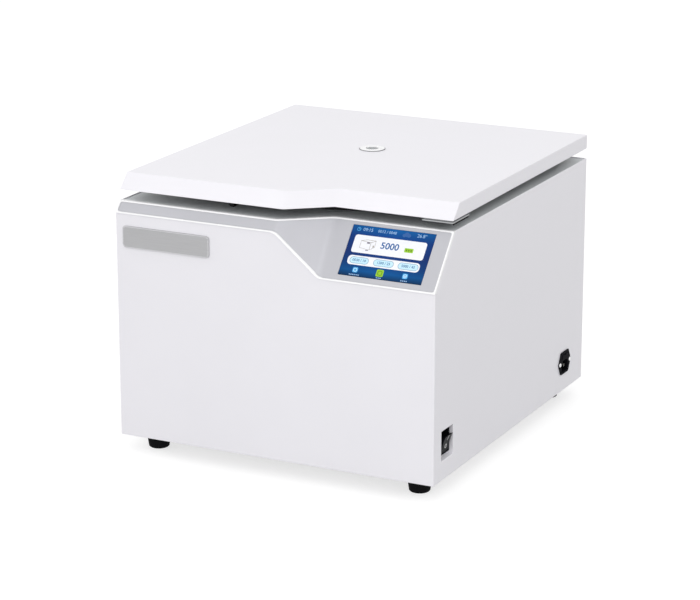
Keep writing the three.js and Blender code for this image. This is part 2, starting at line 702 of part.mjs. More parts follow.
function rearPanel() {
  const sheet = block([LEFT + INSIDE, RIGHT - INSIDE], [REAR - SHEET, REAR], [BOTTOM, TOP]);
  const slots = [LEFT + FAN_RIGHT, RIGHT - FAN_RIGHT].flatMap((x) =>
    Array.from({ length: VENT_ROWS }, (_, row) => {
      const z = BOTTOM + FAN_UP + (row - (VENT_ROWS - 1) / 2) * VENT_PITCH;
      const shape = rectangle(about(x, VENT_LENGTH), about(z, VENT_HEIGHT), VENT_HEIGHT / 2.1);
      return prismBack(shape, [REAR - 2 * SHEET, REAR + SHEET], 2);
    }),
  );
  return cut(sheet, ...slots);
}

// The floor, with its edges turned up inside the sheets.
function basePan() {
  const x = [LEFT + INSIDE, RIGHT - INSIDE];
  const y = [FRONT + INSIDE, REAR - INSIDE];
  const tray = block(x, y, [BOTTOM, BOTTOM + PAN_FLANGE]);
  const hollow = block(
    [x[0] + SHEET, x[1] - SHEET],
    [y[0] + SHEET, y[1] - SHEET],
    [PAN_TOP, BOTTOM + PAN_FLANGE + 1],
  );
  const vents = [-1, 1].flatMap((side) =>
    [-1, 0, 1].map((row) => {
      const shape = rectangle(about(side * DAMPER_CIRCLE, VENT_LENGTH), about(row * 2 * VENT_PITCH, VENT_HEIGHT));
      return prismUp(shape, [BOTTOM - 1, PAN_TOP + 1]);
    }),
  );
  return cut(tray, hollow, ...vents);
}

// The top sheet round the bowl, with its side edges turned down.
function deckPanel() {
  const x = [LEFT + INSIDE, RIGHT - INSIDE];
  const y = [FRONT, REAR - INSIDE];
  const whole = block(x, y, [DECK_TOP - DECK_FLANGE, DECK_TOP]);
  const under = block([x[0] + SHEET, x[1] - SHEET], [FRONT - 1, REAR], [DECK_TOP - DECK_FLANGE - 1, DECK_BOTTOM]);
  const mouth = prismUp(
    disc(BOWL_RADIUS + BOWL_WALL + DECK_HOLE_GAP, 0, AXIS_Y),
    [DECK_BOTTOM - 1, DECK_TOP + 1],
    LARGE_ROUND,
  );
  const slot = block(
    about(LATCH_X, HOOK_THICKNESS + HOOK_SWING_GAP),
    about(LATCH_Y, HOOK_WIDTH + 2 * HOOK_SWING_GAP),
    [DECK_BOTTOM - 1, DECK_TOP + 1],
  );
  return cut(common(cut(whole, under), behindFront(FASCIA_DEPTH + FIT)), mouth, slot);
}

function foot() {
  return turned([
    [0, FOOT_SCREW_DEPTH],
    [FOOT_SCREW_RADIUS, FOOT_SCREW_DEPTH],
    [FOOT_SCREW_RADIUS, 0],
    [FOOT_RADIUS - FOOT_EDGE, 0],
    [FOOT_RADIUS, FOOT_EDGE],
    [FOOT_TOP_RADIUS, FOOT_HEIGHT - FIT],
    [0, FOOT_HEIGHT - FIT],
  ]);
}

// Chamber, about the rotor axis

function chamberBowl() {
  const outer = BOWL_RADIUS + BOWL_WALL;
  const cornerZ = BOWL_FLOOR + BOWL_CORNER;
  const cornerR = BOWL_RADIUS - BOWL_CORNER;
  return turned(
    [
      [BOWL_HOLE, BOWL_FLOOR - BOWL_WALL],
      ...quarter(cornerR, cornerZ, BOWL_CORNER + BOWL_WALL, -90, 0),
      [outer, DECK_TOP + FIT],
      [BOWL_RADIUS + BOWL_FLANGE, DECK_TOP + FIT],
      [BOWL_RADIUS + BOWL_FLANGE, BOWL_TOP],
      [BOWL_RADIUS, BOWL_TOP],
      ...quarter(cornerR, cornerZ, BOWL_CORNER, 0, -90),
      [BOWL_HOLE, BOWL_FLOOR],
      [BOWL_HOLE, BOWL_FLOOR - BOWL_WALL],
    ],
    LARGE_ROUND,
  );
}

// A rubber ring over the bowl's rim, with a step that stands on the deck outside the rim.
function chamberSeal() {
  const top = BOSS_BOTTOM - FIT;
  const step = BOWL_RADIUS + BOWL_FLANGE + FIT;
  return turned(
    [
      [SEAL_INNER, BOWL_TOP + FIT],
      [step, BOWL_TOP + FIT],
      [step, DECK_TOP + FIT],
      [SEAL_OUTER, DECK_TOP + FIT],
      [SEAL_OUTER, top - SEAL_CROWN],
      [SEAL_OUTER - SEAL_CROWN, top],
      [SEAL_INNER + SEAL_CROWN, top],
      [SEAL_INNER, top - SEAL_CROWN],
      [SEAL_INNER, BOWL_TOP + FIT],
    ],
    LARGE_ROUND,
  );
}

// The guard ring stands on four tabs that reach the base pan.
function guardRing() {
  const top = DECK_TOP - GUARD_DROP;
  const bottom = top - GUARD_HEIGHT;
  const wall = ring(GUARD_RADIUS, GUARD_RADIUS + GUARD_WALL, [bottom, top], LARGE_ROUND);
  const tabs = around(4, (angle) => {
    const tab = new THREE.BoxGeometry(GUARD_WALL, FRAME_LEG, bottom - PAN_TOP - FIT + 2 * GUARD_WALL);
    tab.translate(GUARD_RADIUS + GUARD_WALL / 2, 0, (bottom + PAN_TOP + FIT) / 2 + GUARD_WALL);
    return solidOf(tab.rotateZ(angle));
  }, Math.PI / 4);
  return join(wall, ...tabs);
}

function shaftBoot() {
  const neck = BOWL_HOLE - FIT;
  const top = BOWL_FLOOR + FIT + BOWL_WALL;
  const bottom = MOTOR_SHOULDER + MOTOR_BOSS_HEIGHT + FIT;
  return turned([
    [BOOT_BORE, bottom],
    [neck, bottom],
    [neck, BOWL_FLOOR + FIT],
    [BOWL_HOLE + BOOT_FLANGE, BOWL_FLOOR + FIT],
    [BOWL_HOLE + BOOT_FLANGE - BOWL_WALL, top],
    [BOOT_BORE, top],
    [BOOT_BORE, bottom],
  ]);
}

// Motor and its carrier, about the rotor axis

function motorHousing() {
  const bearingFit = BEARING_RADIUS + FIT;
  const bossTop = MOTOR_SHOULDER + MOTOR_BOSS_HEIGHT;
  const lowSeat = MOTOR_BOTTOM + MOTOR_FLOOR;
  const body = turned([
    [0, MOTOR_BOTTOM],
    [MOTOR_RADIUS, MOTOR_BOTTOM],
    [MOTOR_RADIUS, MOTOR_SHOULDER],
    [MOTOR_BOSS, MOTOR_SHOULDER],
    [MOTOR_BOSS, bossTop],
    [bearingFit, bossTop],
    [bearingFit, bossTop - BEARING_HEIGHT - 2 * FIT],
    [BEARING_LEDGE, bossTop - BEARING_HEIGHT - 2 * FIT],
    [BEARING_LEDGE, lowSeat + BEARING_HEIGHT + 2 * FIT],
    [bearingFit, lowSeat + BEARING_HEIGHT + 2 * FIT],
    [bearingFit, lowSeat],
    [0, lowSeat],
  ]);
  const fins = around(MOTOR_FIN_COUNT, (angle) => {
    const fin = new THREE.BoxGeometry(2 * MOTOR_FIN_DEPTH, MOTOR_FIN_DEPTH, MOTOR_HEIGHT - 2 * MOTOR_FLOOR);
    fin.translate(MOTOR_RADIUS, 0, MOTOR_BOTTOM + MOTOR_HEIGHT / 2);
    return solidOf(fin.rotateZ(angle));
  });
  return join(body, ...fins);
}

function bearing(bottom) {
  return ring(SHAFT_RADIUS + FIT, BEARING_RADIUS, [bottom, bottom + BEARING_HEIGHT]);
}

function motorPlate() {
  return ring(MOTOR_BOSS + FIT, PLATE_RADIUS, [MOTOR_PLATE_BOTTOM, MOTOR_PLATE_BOTTOM + MOTOR_PLATE_THICKNESS]);
}

function damper() {
  const bottom = FRAME_TOP + FIT;
  const top = bottom + DAMPER_HEIGHT;
  return turned([
    [0, bottom],
    [DAMPER_RADIUS, bottom],
    [DAMPER_WAIST, (bottom + top) / 2],
    [DAMPER_RADIUS, top],
    [0, top],
  ]);
}

// A ring on three legs, which stand on the base pan under the dampers.
function motorFrame() {
  const half = FRAME_RING_WIDTH / 2;
  const top = ring(DAMPER_CIRCLE - half, DAMPER_CIRCLE + half, [FRAME_TOP - FRAME_RING_HEIGHT, FRAME_TOP]);
  const legs = around(DAMPER_COUNT, (angle) => {
    const height = FRAME_TOP - FRAME_RING_HEIGHT / 2 - PAN_TOP - FIT;
    const leg = new THREE.BoxGeometry(FRAME_LEG, FRAME_LEG, height);
    leg.translate(DAMPER_CIRCLE, 0, PAN_TOP + FIT + height / 2);
    return solidOf(leg.rotateZ(angle));
  });
  return join(top, ...legs);
}

// Rotor, about its axis

function motorShaft() {
  const bottom = MOTOR_BOTTOM + MOTOR_FLOOR + FIT;
  const collarTop = HUB_BOTTOM - FIT;
  return turned([
    [0, bottom],
    [SHAFT_RADIUS, bottom],
    [SHAFT_RADIUS, collarTop - COLLAR_HEIGHT],
    [SHAFT_COLLAR, collarTop - COLLAR_HEIGHT],
    [SHAFT_COLLAR, collarTop],
    [SHAFT_RADIUS, collarTop],
    [SHAFT_RADIUS, HUB_TOP + SHAFT_TIP],
    [0, HUB_TOP + SHAFT_TIP],
  ]);
}

// A disc with a notch for each bucket, a hub, and a trunnion on both sides of each notch.
function rotorYoke() {
  const half = NOTCH_WIDTH / 2;
  const plate = new THREE.Shape();
  const rimAngle = Math.asin(half / YOKE_RADIUS);
  around(BUCKET_COUNT, (angle) => {
    const at = (x, y) => [
      x * Math.cos(angle) - y * Math.sin(angle),
      x * Math.sin(angle) + y * Math.cos(angle),
    ];
    const rim = YOKE_RADIUS * Math.cos(rimAngle);
    if (angle === 0) plate.moveTo(...at(rim, -half));
    plate.lineTo(...at(NOTCH_INNER + NOTCH_CORNER, -half));
    plate.quadraticCurveTo(...at(NOTCH_INNER, -half), ...at(NOTCH_INNER, NOTCH_CORNER - half));
    plate.lineTo(...at(NOTCH_INNER, half - NOTCH_CORNER));
    plate.quadraticCurveTo(...at(NOTCH_INNER, half), ...at(NOTCH_INNER + NOTCH_CORNER, half));
    plate.lineTo(...at(rim, half));
    const next = angle + (2 * Math.PI) / BUCKET_COUNT;
    plate.absarc(0, 0, YOKE_RADIUS, angle + rimAngle, next - rimAngle);
  });
  const armAngle = Math.PI / BUCKET_COUNT;
  for (const angle of around(BUCKET_COUNT, (turn) => turn + armAngle)) {
    const hole = new THREE.Path();
    hole.absarc(PIVOT_RADIUS * Math.cos(angle), PIVOT_RADIUS * Math.sin(angle), ARM_HOLE, 0, 2 * Math.PI);
    plate.holes.push(hole);
  }
  const arms = prismUp(plate, about(PIVOT_Z, YOKE_THICKNESS), 2 * CORNER_STEPS);
  const hub = rod(HUB_RADIUS, [HUB_BOTTOM, HUB_TOP]);
  const trunnions = around(BUCKET_COUNT, (angle) =>
    [-1, 1].map((side) => {
      const length = 2 * TRUNNION_LENGTH;
      const pin = new THREE.CylinderGeometry(TRUNNION_RADIUS, TRUNNION_RADIUS, length, ROUND / 2);
      pin.translate(PIVOT_RADIUS, side * half, PIVOT_Z);
      return solidOf(pin.rotateZ(angle));
    }),
  ).flat();
  const bore = rod(SHAFT_RADIUS + FIT, [HUB_BOTTOM - 1, HUB_TOP + 1]);
  return cut(join(arms, hub, ...trunnions), bore);
}

// A knurled hand nut over the end of the shaft.
function rotorNut() {
  const bottom = HUB_TOP + FIT;
  const top = bottom + NUT_HEIGHT;
  const bore = SHAFT_RADIUS + FIT;
  return turned([
    [bore, bottom],
    [NUT_RADIUS, bottom],
    [NUT_RADIUS, top - NUT_HEIGHT / 3],
    [NUT_RADIUS * 0.7, top],
    [0, top],
    [0, bottom + SHAFT_TIP],
    [bore, bottom + SHAFT_TIP],
    [bore, bottom],
  ]);
}

// A bucket about its pivot, which runs along Y: a cup with a slotted lug over each trunnion.
function bucket() {
  const bottom = BUCKET_RISE - BUCKET_LENGTH;
  const innerRadius = BUCKET_RADIUS - BUCKET_WALL;
  const innerCorner = BUCKET_CORNER - BUCKET_WALL;
  const cup = turned([
    [0, bottom],
    ...quarter(BUCKET_RADIUS - BUCKET_CORNER, bottom + BUCKET_CORNER, BUCKET_CORNER, -90, 0),
    [BUCKET_RADIUS, BUCKET_RISE],
    [0, BUCKET_RISE],
  ]);
  const hollow = turned([
    [0, bottom + BUCKET_FLOOR],
    ...quarter(innerRadius - innerCorner, bottom + BUCKET_FLOOR + innerCorner, innerCorner, -90, 0),
    [innerRadius, BUCKET_RISE + 1],
    [0, BUCKET_RISE + 1],
  ]);
  const reach = NOTCH_WIDTH / 2 - LUG_GAP;
  const lugs = block(about(0, LUG_WIDTH), [-reach, reach], [BUCKET_RISE - LUG_HEIGHT, BUCKET_RISE - 2]);
  const slotHalf = TRUNNION_RADIUS + FIT;
  const slotShape = outline([
    [-slotHalf, -LUG_HEIGHT],
    [slotHalf, -LUG_HEIGHT],
    [slotHalf, slotHalf, slotHalf / 3],
    [-slotHalf, slotHalf, slotHalf / 3],
  ]);
  const slots = [-1, 1].map((side) => {
    const ends = [BUCKET_RADIUS + FIT, reach + 1].map((y) => side * y).sort((a, b) => a - b);
    return prismBack(slotShape, ends);
  });
  return cut(join(cup, lugs), hollow, ...slots);
}

// Lid

function lidShell() {
  const outer = block([LEFT, RIGHT], [FRONT, REAR], [LID_BOTTOM, LID_TOP]);
  const inner = block(
    [LEFT + SHEET, RIGHT - SHEET],
    [FRONT, REAR - SHEET],
    [LID_BOTTOM - 1, LID_TOP - SHEET],
  );
  const sight = prismUp(disc(SIGHT_RADIUS + FIT, 0, AXIS_Y), [LID_BOTTOM, LID_TOP + 1], ROUND);
  return cut(common(outer, behindLidFront(0)), common(inner, behindLidFront(SHEET)), sight);
}

// The round column of the liner's pressed-down centre, with a flat in front of the hinges' axis.
function bossColumn(margin, level) {
  const front = AXIS_Y - BOSS_RADIUS;
  const flat = block([LEFT, RIGHT], [front, HINGE_Y - BOSS_SETBACK - margin], level);
  return common(prismUp(disc(BOSS_RADIUS - margin, 0, AXIS_Y), level, LARGE_ROUND / 2), flat);
}

// A plate that closes the lid's underside, pressed down in the middle on to the seal.
function lidLiner() {
  const top = LINER_BOTTOM + LINER_THICKNESS;
  const sheet = common(
    block([LEFT + INSIDE, RIGHT - INSIDE], [FRONT, REAR - INSIDE], [LINER_BOTTOM, top]),
    behindLidFront(INSIDE),
  );
  const pressed = bossColumn(0, [BOSS_BOTTOM, top]);
  const hollow = bossColumn(LINER_THICKNESS, [BOSS_BOTTOM + LINER_THICKNESS, LID_TOP]);
  const sight = prismUp(disc(SIGHT_WINDOW - SIGHT_LIP, 0, AXIS_Y), [BOTTOM, LID_TOP], ROUND / 2);
  return cut(join(sheet, pressed), hollow, sight);
}

// An L-shaped strip in the lid's front right-hand corner: a neck under the liner, and below it a lip in
// line with the lid's edges.
function lidCornerStrip() {
  const front = FRONT + LID_RIGHT_SETBACK;
  const bottom = LID_BOTTOM - STRIP_DROP;
  const corner = (recess, level) =>
    join(
      block([RIGHT - STRIP_LENGTH, RIGHT - recess], [front + recess, front + STRIP_WIDTH], level),
      block([RIGHT - STRIP_WIDTH, RIGHT - recess], [front + recess, front + STRIP_RETURN], level),
    );
  return join(corner(STRIP_RECESS, [bottom, LINER_BOTTOM - FIT]), corner(0, [bottom, bottom + STRIP_LIP]));
}

// The sight port, about its own axis: a ring in the lid's top, on a tube down to the liner.
function sightRing() {
  const top = LID_TOP + SIGHT_PROUD;
  const underLid = LID_TOP - SHEET - FIT;
  const seat = LID_TOP - GLASS_THICKNESS - FIT;
  return turned([
    [SIGHT_WINDOW - SIGHT_LIP, BOSS_BOTTOM + LINER_THICKNESS + FIT],
    [SIGHT_TUBE, BOSS_BOTTOM + LINER_THICKNESS + FIT],
    [SIGHT_TUBE, underLid - SHEET],
    [SIGHT_FLANGE, underLid - SHEET],
    [SIGHT_FLANGE, underLid],
    [SIGHT_RADIUS, underLid],
    [SIGHT_RADIUS, top],
    [SIGHT_WINDOW + FIT, top],
    [SIGHT_WINDOW + FIT, seat],
    [SIGHT_WINDOW - SIGHT_LIP, seat],
    [SIGHT_WINDOW - SIGHT_LIP, BOSS_BOTTOM + LINER_THICKNESS + FIT],
  ]);
}

function sightGlass() {
  return rod(SIGHT_WINDOW, [LID_TOP - GLASS_THICKNESS, LID_TOP]);
}

// Hinges, each about its own axis, which runs along X

function hingeBracket() {
  const foot = DECK_TOP + FIT - HINGE_Z;
  const bore = prismAcross(disc(HINGE_PIN + FIT), about(0, 2 * KNUCKLE_WIDTH), ROUND / 2);
  const plate = block(
    about(0, KNUCKLE_WIDTH + 2 * (FIT + EAR_THICKNESS)),
    [-BRACKET_FRONT, BRACKET_BACK],
    [foot, foot + HINGE_PLATE],
  );
  const ears = [-1, 1].map((side) => {
    const middle = side * (KNUCKLE_WIDTH / 2 + FIT + EAR_THICKNESS / 2);
    const post = outline([[-EAR_RADIUS, foot], [BRACKET_BACK, foot], [EAR_RADIUS, 0], [-EAR_RADIUS, 0]]);
    return join(
      prismAcross(post, about(middle, EAR_THICKNESS)),
      prismAcross(disc(EAR_RADIUS), about(middle, EAR_THICKNESS), ROUND / 2),
    );
  });
  return cut(join(plate, ...ears), bore);
}

function hingeLeaf() {
  const width = about(0, KNUCKLE_WIDTH);
  const top = LINER_BOTTOM - FIT - HINGE_Z;
  const plate = block(width, [-LEAF_LENGTH, LEAF_BACK], [top - HINGE_PLATE, top]);
  const web = block(width, [-KNUCKLE_RADIUS, LEAF_BACK], [0, top - HINGE_PLATE / 2]);
  const knuckle = prismAcross(disc(KNUCKLE_RADIUS), width, ROUND / 2);
  const bore = prismAcross(disc(HINGE_PIN + FIT), about(0, 2 * KNUCKLE_WIDTH), ROUND / 2);
  return cut(join(plate, web, knuckle), bore);
}

function hingePin() {
  const length = KNUCKLE_WIDTH + 2 * (FIT + EAR_THICKNESS) + EAR_THICKNESS;
  return prismAcross(disc(HINGE_PIN), about(0, length), ROUND / 2);
}

// Lid lock, about the latch's place in plan

function latchHook() {
  const stem = block(about(0, HOOK_THICKNESS), about(0, HOOK_WIDTH), [HOOK_BOTTOM, HOOK_TOP]);
  const window = block(
    about(0, 2 * HOOK_THICKNESS),
    about(0, HOOK_WINDOW_WIDTH),
    about(PAWL_Z, HOOK_WINDOW_HEIGHT),
  );
  const foot = block(
    about(0, HOOK_FOOT_WIDTH),
    about(0, HOOK_FOOT_DEPTH),
    [HOOK_TOP - HOOK_FOOT_THICKNESS, HOOK_TOP],
  );
  return join(cut(stem, window), foot);
}

function lockHousing() {
  const top = DECK_BOTTOM - FIT;
  const body = block(about(0, LOCK_WIDTH), about(0, LOCK_DEPTH), [top - LOCK_HEIGHT, top]);
  const slot = block(
    about(0, HOOK_THICKNESS + HOOK_SWING_GAP),
    about(0, HOOK_WIDTH + 2 * HOOK_SWING_GAP),
    [HOOK_BOTTOM - HOOK_SWING_GAP, top + 1],
  );
  const channel = block(
    [0, LOCK_WIDTH],
    about(0, PAWL_SIZE + 2 * PAWL_GAP),
    about(PAWL_Z, PAWL_SIZE + 2 * PAWL_GAP),
  );
  return cut(body, slot, channel);
}

function lockPawl() {
  const start = HOOK_THICKNESS / 2 + PAWL_STANDOFF;
  return block([start, start + PAWL_LENGTH], about(0, PAWL_SIZE), about(PAWL_Z, PAWL_SIZE));
}

// Power switch

// A block about the switch, smaller than its bezel by the rim, with a gap, between two places along X
// that are measured from the right-hand side.
function switchBlock(gap, [x0, x1]) {
  return block(
    [RIGHT + x0, RIGHT + x1],
    about(SWITCH_Y, SWITCH_WIDTH - 2 + 2 * gap),
    about(SWITCH_Z, SWITCH_HEIGHT - 2 + 2 * gap),
  );
}

function switchBezel() {
  const floor = RIGHT - POCKET_DEPTH + FIT;
  const rim = block([floor, RIGHT - SWITCH_DROP], about(SWITCH_Y, SWITCH_WIDTH), about(SWITCH_Z, SWITCH_HEIGHT));
  const body = switchBlock(0, [-POCKET_DEPTH - SWITCH_BODY, -SWITCH_DROP - 1]);
  const hollow = block(
    [RIGHT - POCKET_DEPTH - SWITCH_BODY / 2, RIGHT],
    about(SWITCH_Y, SWITCH_WIDTH - 2 * SWITCH_RIM),
    about(SWITCH_Z, SWITCH_HEIGHT - 2 * SWITCH_RIM),
  );
  return cut(join(rim, body), hollow);
}

// The rocker about its pivot, which runs along Y, with its face out along X.
function switchRocker() {
  const width = SWITCH_WIDTH - 2 * SWITCH_RIM - 2 * ROCKER_SIDE_GAP;
  const face = new THREE.Shape();
  face.moveTo(ROCKER_RISE, -ROCKER_HALF);
  face.quadraticCurveTo(ROCKER_DIP, 0, ROCKER_RISE, ROCKER_HALF);
  face.lineTo(0, ROCKER_ROUND);
  face.absarc(0, 0, ROCKER_ROUND, Math.PI / 2, (3 * Math.PI) / 2);
  face.closePath();
  return prismBack(face, about(0, width), 2 * CORNER_STEPS);
}

// Mains inlet

// A block about the inlet's body with a gap, between two places along X from the right-hand side.
function inletBlock(gap, [x0, x1]) {
  return block(
    [RIGHT + x0, RIGHT + x1],
    about(INLET_Y, INLET_BODY_WIDTH + 2 * gap),
    about(INLET_Z, INLET_BODY_HEIGHT + 2 * gap),
  );
}

const SOCKET_Z = INLET_Z - SOCKET_DROP;
const SOCKET_FLOOR = RIGHT + FIT + INLET_FLANGE - SOCKET_DEPTH;
const DRAWER_Z = INLET_Z + DRAWER_RISE;

function inletBody() {
  const face = RIGHT + FIT + INLET_FLANGE;
  const tip = INLET_LENGTH / 2;
  const shoulder = INLET_SHOULDER / 2;
  const half = INLET_HEIGHT / 2;
  const flangeShape = outline([
    [INLET_Y - tip, INLET_Z, 3],
    [INLET_Y - shoulder, INLET_Z - half, 3],
    [INLET_Y + shoulder, INLET_Z - half, 3],
    [INLET_Y + tip, INLET_Z, 3],
    [INLET_Y + shoulder, INLET_Z + half, 3],
    [INLET_Y - shoulder, INLET_Z + half, 3],
  ]);
  const flange = prismAcross(flangeShape, [RIGHT + FIT, face]);
  const body = inletBlock(0, [-INLET_BODY_DEPTH, FIT + INLET_FLANGE / 2]);
  const [y0, y1] = about(INLET_Y, SOCKET_WIDTH);
  const [z0, z1] = about(SOCKET_Z, SOCKET_HEIGHT);
  const socketShape = outline([
    [y0, z0],
    [y1, z0],
    [y1, z1 - SOCKET_CHAMFER],
    [y1 - SOCKET_CHAMFER, z1],
    [y0 + SOCKET_CHAMFER, z1],
    [y0, z1 - SOCKET_CHAMFER],
  ]);
  const socket = prismAcross(socketShape, [SOCKET_FLOOR, face + 1]);
  const drawerWay = block(
    [face - DRAWER_LENGTH - FIT, face + 1],
    about(INLET_Y, DRAWER_WIDTH + 2 * FIT),
    about(DRAWER_Z, DRAWER_HEIGHT + 2 * FIT),
  );
  return cut(join(flange, body), socket, drawerWay);
}

function inletBlade(y, rise) {
  return block(
    [SOCKET_FLOOR + FIT, SOCKET_FLOOR + FIT + BLADE_LENGTH],
    about(INLET_Y + y, BLADE_WIDTH),
    about(SOCKET_Z + rise, BLADE_HEIGHT),
  );
}

function fuseDrawer() {
  const face = RIGHT + FIT + INLET_FLANGE + DRAWER_PROUD;
  const body = block(
    [face - DRAWER_LENGTH, face],
    about(INLET_Y, DRAWER_WIDTH),
    about(DRAWER_Z, DRAWER_HEIGHT),
  );
  const notch = block(
    [face - DRAWER_NOTCH / 2, face + 1],
    about(INLET_Y, DRAWER_NOTCH),
    [DRAWER_Z + DRAWER_HEIGHT / 4, DRAWER_Z + DRAWER_HEIGHT],
  );
  return cut(body, notch);
}

// Cooling fan, about its own axis, with its outlet face at z = 0

function fanFrame() {
  const square = prismUp(rectangle(about(0, FAN_SIZE), about(0, FAN_SIZE), 4), [-FAN_THICKNESS, 0]);
  const bore = rod(FAN_BORE, [-FAN_THICKNESS - 1, 1], 2 * ROUND);
  const web = [-FAN_THICKNESS, FAN_WEB - FAN_THICKNESS];
  const motor = rod(FAN_HUB + 1, web);
  const struts = [
    block(about(0, 2 * FAN_BORE + FAN_STRUT), about(0, FAN_STRUT), web),
    block(about(0, FAN_STRUT), about(0, 2 * FAN_BORE + FAN_STRUT), web),
  ];
  return join(cut(square, bore), motor, ...struts);
}

// The impeller: a hub and blades that curve along the axis.
function fanImpeller() {
  const bottom = FAN_WEB - FAN_THICKNESS + FIT;
  const hub = rod(FAN_HUB, [bottom, -FAN_WEB]);
  const middle = (bottom - FAN_WEB) / 2;
  const half = BLADE_DEPTH / 2 / BLADE_CHORD_RADIUS;
  const section = new THREE.Shape();
  section.absarc(0, 0, BLADE_CHORD_RADIUS, -half, half);
  section.absarc(0, 0, BLADE_CHORD_RADIUS - BLADE_SKIN, half, -half, true);
  section.closePath();
  const span = FAN_BORE - FAN_TIP_GAP - FAN_HUB + 2;
  const blades = around(BLADE_COUNT, (angle) => {
    const blade = extruded(section, span, CORNER_STEPS).translate(-BLADE_CHORD_RADIUS, 0, FAN_HUB - 2);
    blade.rotateZ(Math.PI / 4);
    return solidOf(blade.rotateY(Math.PI / 2).translate(0, 0, middle).rotateZ(angle));
  });
  return join(hub, ...blades);
}

// Drive unit on the base pan

function driveBoard() {
  const x = [LEFT + DRIVE_MARGIN, LEFT + DRIVE_MARGIN + DRIVE_WIDTH];
  const y = [FRONT + DRIVE_MARGIN, FRONT + DRIVE_MARGIN + DRIVE_DEPTH];
  const level = PAN_TOP + FIT + DRIVE_STANDOFF;
  const top = level + BOARD_THICKNESS;
  const board = block(x, y, [level, top]);
  const standoffs = x.flatMap((px, i) =>
    y.map((py, j) => {
      const inward = (side) => (side === 0 ? STANDOFF_INSET : -STANDOFF_INSET);
      return prismUp(disc(STANDOFF_RADIUS, px + inward(i), py + inward(j)), [PAN_TOP + FIT, top]);
    }),
  );
  const sinkX = [x[0] + HEATSINK_LEFT, x[0] + HEATSINK_LEFT + HEATSINK_WIDTH];
  const sinkY = [y[0] + HEATSINK_FRONT, y[1] - HEATSINK_FRONT];
  const sink = block(sinkX, sinkY, [level, top + HEATSINK_BASE]);
  const pitch = (HEATSINK_WIDTH - FIN_THICKNESS) / (HEATSINK_FINS - 1);
  const fins = Array.from({ length: HEATSINK_FINS }, (_, i) =>
    block([sinkX[0] + i * pitch, sinkX[0] + i * pitch + FIN_THICKNESS], sinkY, [level, top + HEATSINK_HEIGHT]),
  );
  const capacitors = Array.from({ length: CAPACITOR_COUNT }, (_, i) => {
    const along = CAPACITOR_FRONT + i * (2 * CAPACITOR_RADIUS + CAPACITOR_SPACING);
    const place = disc(CAPACITOR_RADIUS, x[1] - CAPACITOR_RIGHT, y[0] + along);
    return prismUp(place, [level, top + CAPACITOR_HEIGHT]);
  });
  return join(board, sink, ...standoffs, ...fins, ...capacitors);
}

// Finishes

function finish(color, roughness, metalness) {
  return new THREE.MeshStandardMaterial({ color, roughness, metalness });
}

const WHITE_PAINT = [0xededf0, 0.4, 0];
const WHITE_PLASTIC = [0xf6f6f8, 0.35, 0];
const SILVER_FILM = [0xc8cace, 0.35, 0.3];
const SILVER_PLATE = [0xbfbfbf, 0.3, 0.8];
const STAINLESS = [0xc4c6c8, 0.25, 1];
const STEEL = [0x9a9da0, 0.4, 1];
const ALUMINIUM = [0xb4b7ba, 0.35, 1];
const RUBBER = [0x1c1c1e, 0.8, 0];
const BLACK_PLASTIC = [0x222226, 0.5, 0];
const SCREEN_GLASS = [0x12357c, 0.1, 0];
const CLEAR_GLASS = [0xd8dee4, 0.05, 0];
const CIRCUIT_BOARD = [0x1f5c3a, 0.6, 0];
const NICKEL = [0xc9c4b8, 0.25, 1];

// Assembly

const centrifuge = new THREE.Group();

function add(parent, name, solid, look) {
  const { vertProperties, triVerts } = solid.getMesh();
  const indexed = new THREE.BufferGeometry();
  indexed.setAttribute("position", new THREE.BufferAttribute(vertProperties, 3));
  indexed.setIndex(new THREE.BufferAttribute(triVerts, 1));
  const geometry = indexed.toNonIndexed();
  geometry.computeVertexNormals();
  const mesh = new THREE.Mesh(geometry, finish(...look));
  mesh.name = name;
  parent.add(mesh);
  return mesh;
}

function groupAt(parent, x, y, z) {
  const group = new THREE.Group();
  group.position.set(x, y, z);
  parent.add(group);
  return group;
}

function addPanels() {
  add(centrifuge, "base_pan", basePan(), WHITE_PAINT);
  add(centrifuge, "housing_shell", housingShell(), WHITE_PAINT);
  add(centrifuge, "rear_panel", rearPanel(), WHITE_PAINT);
  add(centrifuge, "deck_panel", deckPanel(), WHITE_PAINT);
  const places = [
    ["foot_front_left", LEFT + FOOT_SIDE_INSET, FRONT + FOOT_END_INSET],
    ["foot_front_right", RIGHT - FOOT_SIDE_INSET, FRONT + FOOT_END_INSET],
    ["foot_rear_left", LEFT + FOOT_SIDE_INSET, REAR - FOOT_END_INSET],
    ["foot_rear_right", RIGHT - FOOT_SIDE_INSET, REAR - FOOT_END_INSET],
  ];
  for (const [name, x, y] of places) add(centrifuge, name, foot(), RUBBER).position.set(x, y, 0);
}

function addFront() {
  add(centrifuge, "fascia_bezel", fasciaBezel(), WHITE_PLASTIC);
  add(centrifuge, "fascia_inlay", fasciaInlay(), SILVER_FILM);
  add(centrifuge, "nameplate", nameplate(), SILVER_PLATE);
  centrifuge.add(screenFrame);
  add(screenFrame, "touch_screen", touchScreen(), SCREEN_GLASS);
  add(screenFrame, "display_module", displayModule(), STEEL);
  add(screenFrame, "control_board", controlBoard(), CIRCUIT_BOARD);
}

